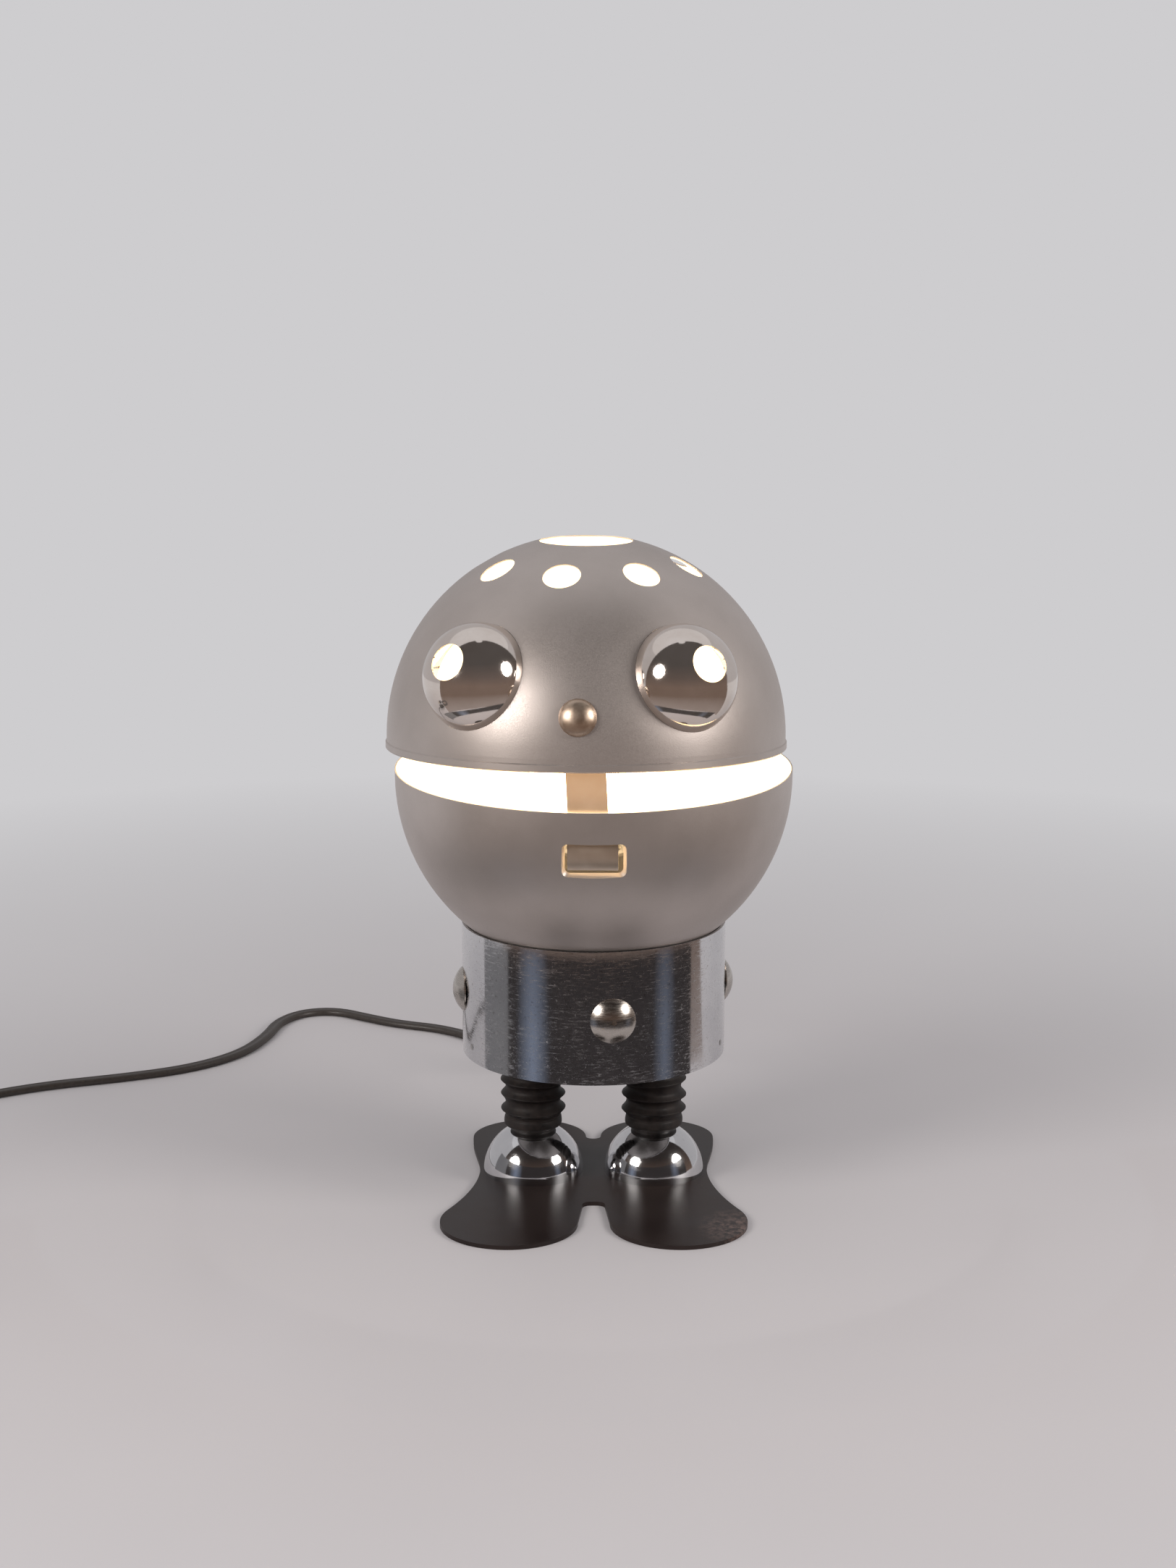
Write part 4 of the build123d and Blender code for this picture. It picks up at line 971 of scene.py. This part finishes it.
class Stage:
    """The floor, the world, the lights and the camera."""

    WALL = Colour(0.617, 0.610, 0.624)
    TABLE = Colour(0.455, 0.438, 0.448)
    FLOOR_RADIUS = 6.0
    LIGHT_UP = 22.5
    LIGHT_AWAY = 1.18
    LIGHT_RADIUS = 0.25
    LIGHT_POWER = 8.5
    LIGHT_COLOUR = (1.0, 0.95, 0.91)
    AIM = Vector((0.0, 0.0, 0.14))
    DARK_SIDE = (-80.0, 100.0)
    GREY_SIDE = (100.0, 280.0)
    NEAR_SIDE = (-95.0, 80.0)
    NEAR_HEIGHTS = (0.001, 0.068)
    CAMERA_PLACE = (-0.002, -0.9175, 0.337)
    CAMERA_DOWN = 11.7
    CAMERA_LENS = 60.93
    CAMERA_SENSOR = 36.0

    def build(self) -> None:
        """Makes everything round the lamp."""
        self._view()
        self._world()
        self._floor()
        self._flags()
        self._disc("key", -51.0)
        self._disc("fill", 65.0)
        self._camera()

    @staticmethod
    def _view() -> None:
        """Sets the colour view."""
        scene = bpy.context.scene
        scene.view_settings.view_transform = "Standard"
        scene.view_settings.look = "None"

    def _world(self) -> None:
        """Lights the room evenly."""
        world = bpy.data.worlds.new("room")
        bpy.context.scene.world = world
        world.use_nodes = True
        shader = world.node_tree.nodes["Background"]
        shader.inputs["Color"].default_value = self.WALL.rgba()
        shader.inputs["Strength"].default_value = 1.0

    def _floor(self) -> None:
        """Lays the floor, which fades into the room far away."""
        made = Surface("floor")
        tree = made.tree
        cloudy = made.noise(3.0, 3.0)
        made.colour(made.ramp(cloudy, [(0.3, self.TABLE.scaled(0.97)), (0.7, self.TABLE.scaled(1.03))]))
        made.set(Roughness=0.55, Specular_IOR_Level=0.2)
        glow = tree.nodes.new("ShaderNodeEmission")
        glow.inputs["Color"].default_value = self.WALL.rgba()
        blend = tree.nodes.new("ShaderNodeMixShader")
        far = made.remap(made.distance((0.0, 0.0, 0.0), (1.0, 1.0, 0.0)), (0.22, 0.75), (0.0, 1.0))
        made.link(far, blend.inputs["Fac"])
        made.link(made.shader.outputs["BSDF"], blend.inputs[1])
        made.link(glow.outputs["Emission"], blend.inputs[2])
        made.link(blend.outputs["Shader"], tree.nodes["Material Output"].inputs["Surface"])
        mesh = bmesh.new()
        bmesh.ops.create_circle(mesh, cap_ends=True, radius=self.FLOOR_RADIUS, segments=96)
        new_object("floor", mesh, made.material)

    def _flags(self) -> None:
        """Puts the room's dark and grey sides where only reflections see them."""
        horizon = Colour(0.150, 0.100, 0.076)
        room = [(0.0, horizon), (0.45, Colour(0.080, 0.055, 0.045)), (1.0, Colour(0.030, 0.024, 0.022))]
        ground = [(0.15, Colour(0.330, 0.285, 0.270)), (0.45, horizon)]
        grey = [(0.0, Colour(0.43, 0.42, 0.43)), (1.0, Colour(0.47, 0.46, 0.47))]
        centre = (0.0, 0.0, 0.0)
        dome = Patch(1.48, self.DARK_SIDE, (0.002, 1.475), dome=True)
        ring = Patch(0.20, self.DARK_SIDE, (0.002, 0.003), outer=1.48)
        near = Patch(0.150, self.NEAR_SIDE, self.NEAR_HEIGHTS)
        back = Patch(1.60, self.GREY_SIDE, (0.002, 1.2), dome=True)
        self._flag("dark_room", dome, lambda made: made.ramp(made.distance(centre, (0.0, 0.0, 1.0)), room))
        self._flag("dark_floor", ring, lambda made: made.ramp(made.distance(centre), ground))
        self._flag("low_screen", near, self._low_screen)
        self._flag("grey_room", back, lambda made: made.ramp(made.noise(2.0), grey))

    @staticmethod
    def _low_screen(made: Surface) -> bpy.types.NodeSocket:
        """Colours the low screen, a painted reflection for the collar: dark, with two soft bluish panes that
        paint its soft highlights and a grey end that paints a lighter band.

        Args:
            made: The screen's surface.

        Returns:
            The colour output.
        """
        # Painted highlights: the bluish panes stand in for the lamps' soft streaks on the collar.
        glow = Colour(0.19, 0.22, 0.29)
        shade = Colour(0.036, 0.031, 0.031)
        tall = (1.0, 1.0, 0.35)
        left = made.remap(made.distance((-0.108, -0.104, 0.02), tall), (0.002, 0.036), (1.0, 0.0))
        right = made.remap(made.distance((0.122, -0.087, 0.03), tall), (0.002, 0.026), (0.6, 0.0))
        lit = made.mix(made.math("MAXIMUM", left, right), shade, glow)
        end = made.remap(made.distance((-0.150, -0.020, 0.0), (1.0, 1.0, 0.0)), (0.036, 0.040), (1.0, 0.0))
        return made.mix(end, lit, Colour(0.175, 0.17, 0.175))

    @staticmethod
    def _flag(name: str, patch: Patch, paint: Callable[[Surface], bpy.types.NodeSocket]) -> None:
        """Makes one screen that only reflections see.

        Args:
            name: Its name.
            patch: Its surface.
            paint: What makes its colour.
        """
        made = Surface(name)
        tree = made.tree
        even = tree.nodes.new("ShaderNodeEmission")
        made.link(paint(made), even.inputs["Color"])
        made.link(even.outputs["Emission"], tree.nodes["Material Output"].inputs["Surface"])
        tree.nodes.remove(made.shader)
        mesh = bmesh.new()
        patch.add(mesh)
        flag = new_object(name, mesh, made.material)
        flag.visible_camera = False
        flag.visible_diffuse = False
        flag.visible_shadow = False
        flag.visible_transmission = False
        flag.visible_volume_scatter = False

    def _disc(self, name: str, around: float) -> None:
        """Hangs a round soft light.

        Args:
            name: The light's name.
            around: Its angle from the front, positive to the viewer's right, in degrees.
        """
        data = bpy.data.lights.new(name, "AREA")
        data.shape = "DISK"
        data.size = 2 * self.LIGHT_RADIUS
        data.energy = self.LIGHT_POWER
        data.color = self.LIGHT_COLOUR
        light = bpy.data.objects.new(name, data)
        bpy.context.scene.collection.objects.link(light)
        angle, rise = math.radians(around), math.radians(self.LIGHT_UP)
        back = Vector((math.sin(angle) * math.cos(rise), -math.cos(angle) * math.cos(rise), math.sin(rise)))
        light.location = self.AIM + back * self.LIGHT_AWAY
        light.rotation_euler = (-back).to_track_quat("-Z", "Y").to_euler()
        light.visible_camera = False

    def _camera(self) -> None:
        """Sets the camera at the front, a little above the head."""
        data = bpy.data.cameras.new("camera")
        data.sensor_width = self.CAMERA_SENSOR
        data.lens = self.CAMERA_LENS
        data.clip_start = 0.02
        data.clip_end = 50.0
        camera = bpy.data.objects.new("camera", data)
        bpy.context.scene.collection.objects.link(camera)
        camera.location = self.CAMERA_PLACE
        camera.rotation_euler = (math.radians(90 - self.CAMERA_DOWN), 0.0, 0.0)
        bpy.context.scene.camera = camera


@dataclass(frozen=True)
class Rule:
    """Which finish a node takes and how far its edges are rounded."""

    node: str
    finish: str
    edge: float = 0.0


RULES = (
    Rule("sole_plate", "plate", 0.0007),
    Rule("foot_dome_left", "chrome", 0.0004),
    Rule("foot_dome_right", "chrome", 0.0004),
    Rule("leg_rod_left", "steel"),
    Rule("leg_rod_right", "steel"),
    Rule("leg_washers", "steel", 0.0002),
    Rule("leg_nuts", "steel", 0.0003),
    Rule("collar", "worn_chrome", 0.00025),
    Rule("collar_floor", "steel", 0.0003),
    Rule("collar_screws", "steel", 0.0002),
    Rule("collar_buttons", "button", 0.0002),
    Rule("button_nuts", "steel", 0.0002),
    Rule("collar_bridge", "steel", 0.0003),
    Rule("nipple", "brass"),
    Rule("swivel_washers", "steel", 0.0002),
    Rule("nipple_nuts", "brass", 0.0003),
    Rule("cord_bush", "housing", 0.0004),
    Rule("cord_clamp", "steel", 0.0003),
    Rule("inner_flex", "flex"),
    Rule("lampholder_body", "housing", 0.0004),
    Rule("screw_shell", "brass"),
    Rule("centre_contact", "brass"),
    Rule("bulb_cap", "brass"),
    Rule("bulb_glass", "glass"),
    Rule("bulb_stem", "glass"),
    Rule("filament", "wire"),
    Rule("lower_shell", "lower", 0.0003),
    Rule("hinge_lower_leaf", "steel", 0.0003),
    Rule("hinge_pin", "steel", 0.0002),
    Rule("hinge_upper_leaf", "steel", 0.0003),
    Rule("hinge_lower_rivets", "steel"),
    Rule("hinge_upper_rivets", "steel"),
    Rule("upper_shell", "upper", 0.0003),
    Rule("eye_left", "eye", 0.0003),
    Rule("eye_right", "eye", 0.0003),
    Rule("nose", "bronze"),
    Rule("nose_nut", "steel", 0.0002),
    Rule("catch_anchor", "steel", 0.0002),
    Rule("catch_strip", "spring", 0.0002),
    Rule("switch_lower_half", "housing", 0.0005),
    Rule("switch_upper_half", "housing", 0.0005),
    Rule("switch_screws", "steel", 0.0002),
    Rule("switch_rocker", "rocker", 0.0005),
    Rule("plug_body", "housing", 0.0006),
    Rule("plug_pins", "brass", 0.0004),
)


class Lamp:
    """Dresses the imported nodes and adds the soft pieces."""

    def __init__(self, frame: dict) -> None:
        """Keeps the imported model.
        """
        self.nodes = frame["nodes"]
        self.finish = Finish()

    def dress(self) -> None:
        """Gives every node its finish and its soft edges."""
        for rule in RULES:
            node = self.nodes[rule.node]
            assign(node, getattr(self.finish, rule.finish))
            if rule.edge:
                soften(node, rule.edge)

    def cords(self) -> None:
        """Lays the flex, from the collar to the switch and from the switch through its coil to the plug."""
        maker = Cord(self.finish.flex)
        lead = maker.make("flex_lead", LEAD_ROUTE)
        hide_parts("cord_lead")
        tail = maker.make("flex_tail", [*LINK_ROUTE, *coil_route(), *TAIL_ROUTE])
        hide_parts("cord_link", "cord_coil", "cord_tail")

    def soft_parts(self) -> None:
        """Makes the rubber legs."""
        Bellows("left", -Bellows.LEG_X, 0.4).build(self.finish.rubber)
        Bellows("right", Bellows.LEG_X, 2.3).build(self.finish.rubber)


def main() -> None:
    """Builds the scene."""
    logging.basicConfig(level=logging.INFO)
    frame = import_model()
    Stage().build()
    lamp = Lamp(frame)
    lamp.dress()
    lamp.cords()
    lamp.soft_parts()


if __name__ == "__main__":
    main()
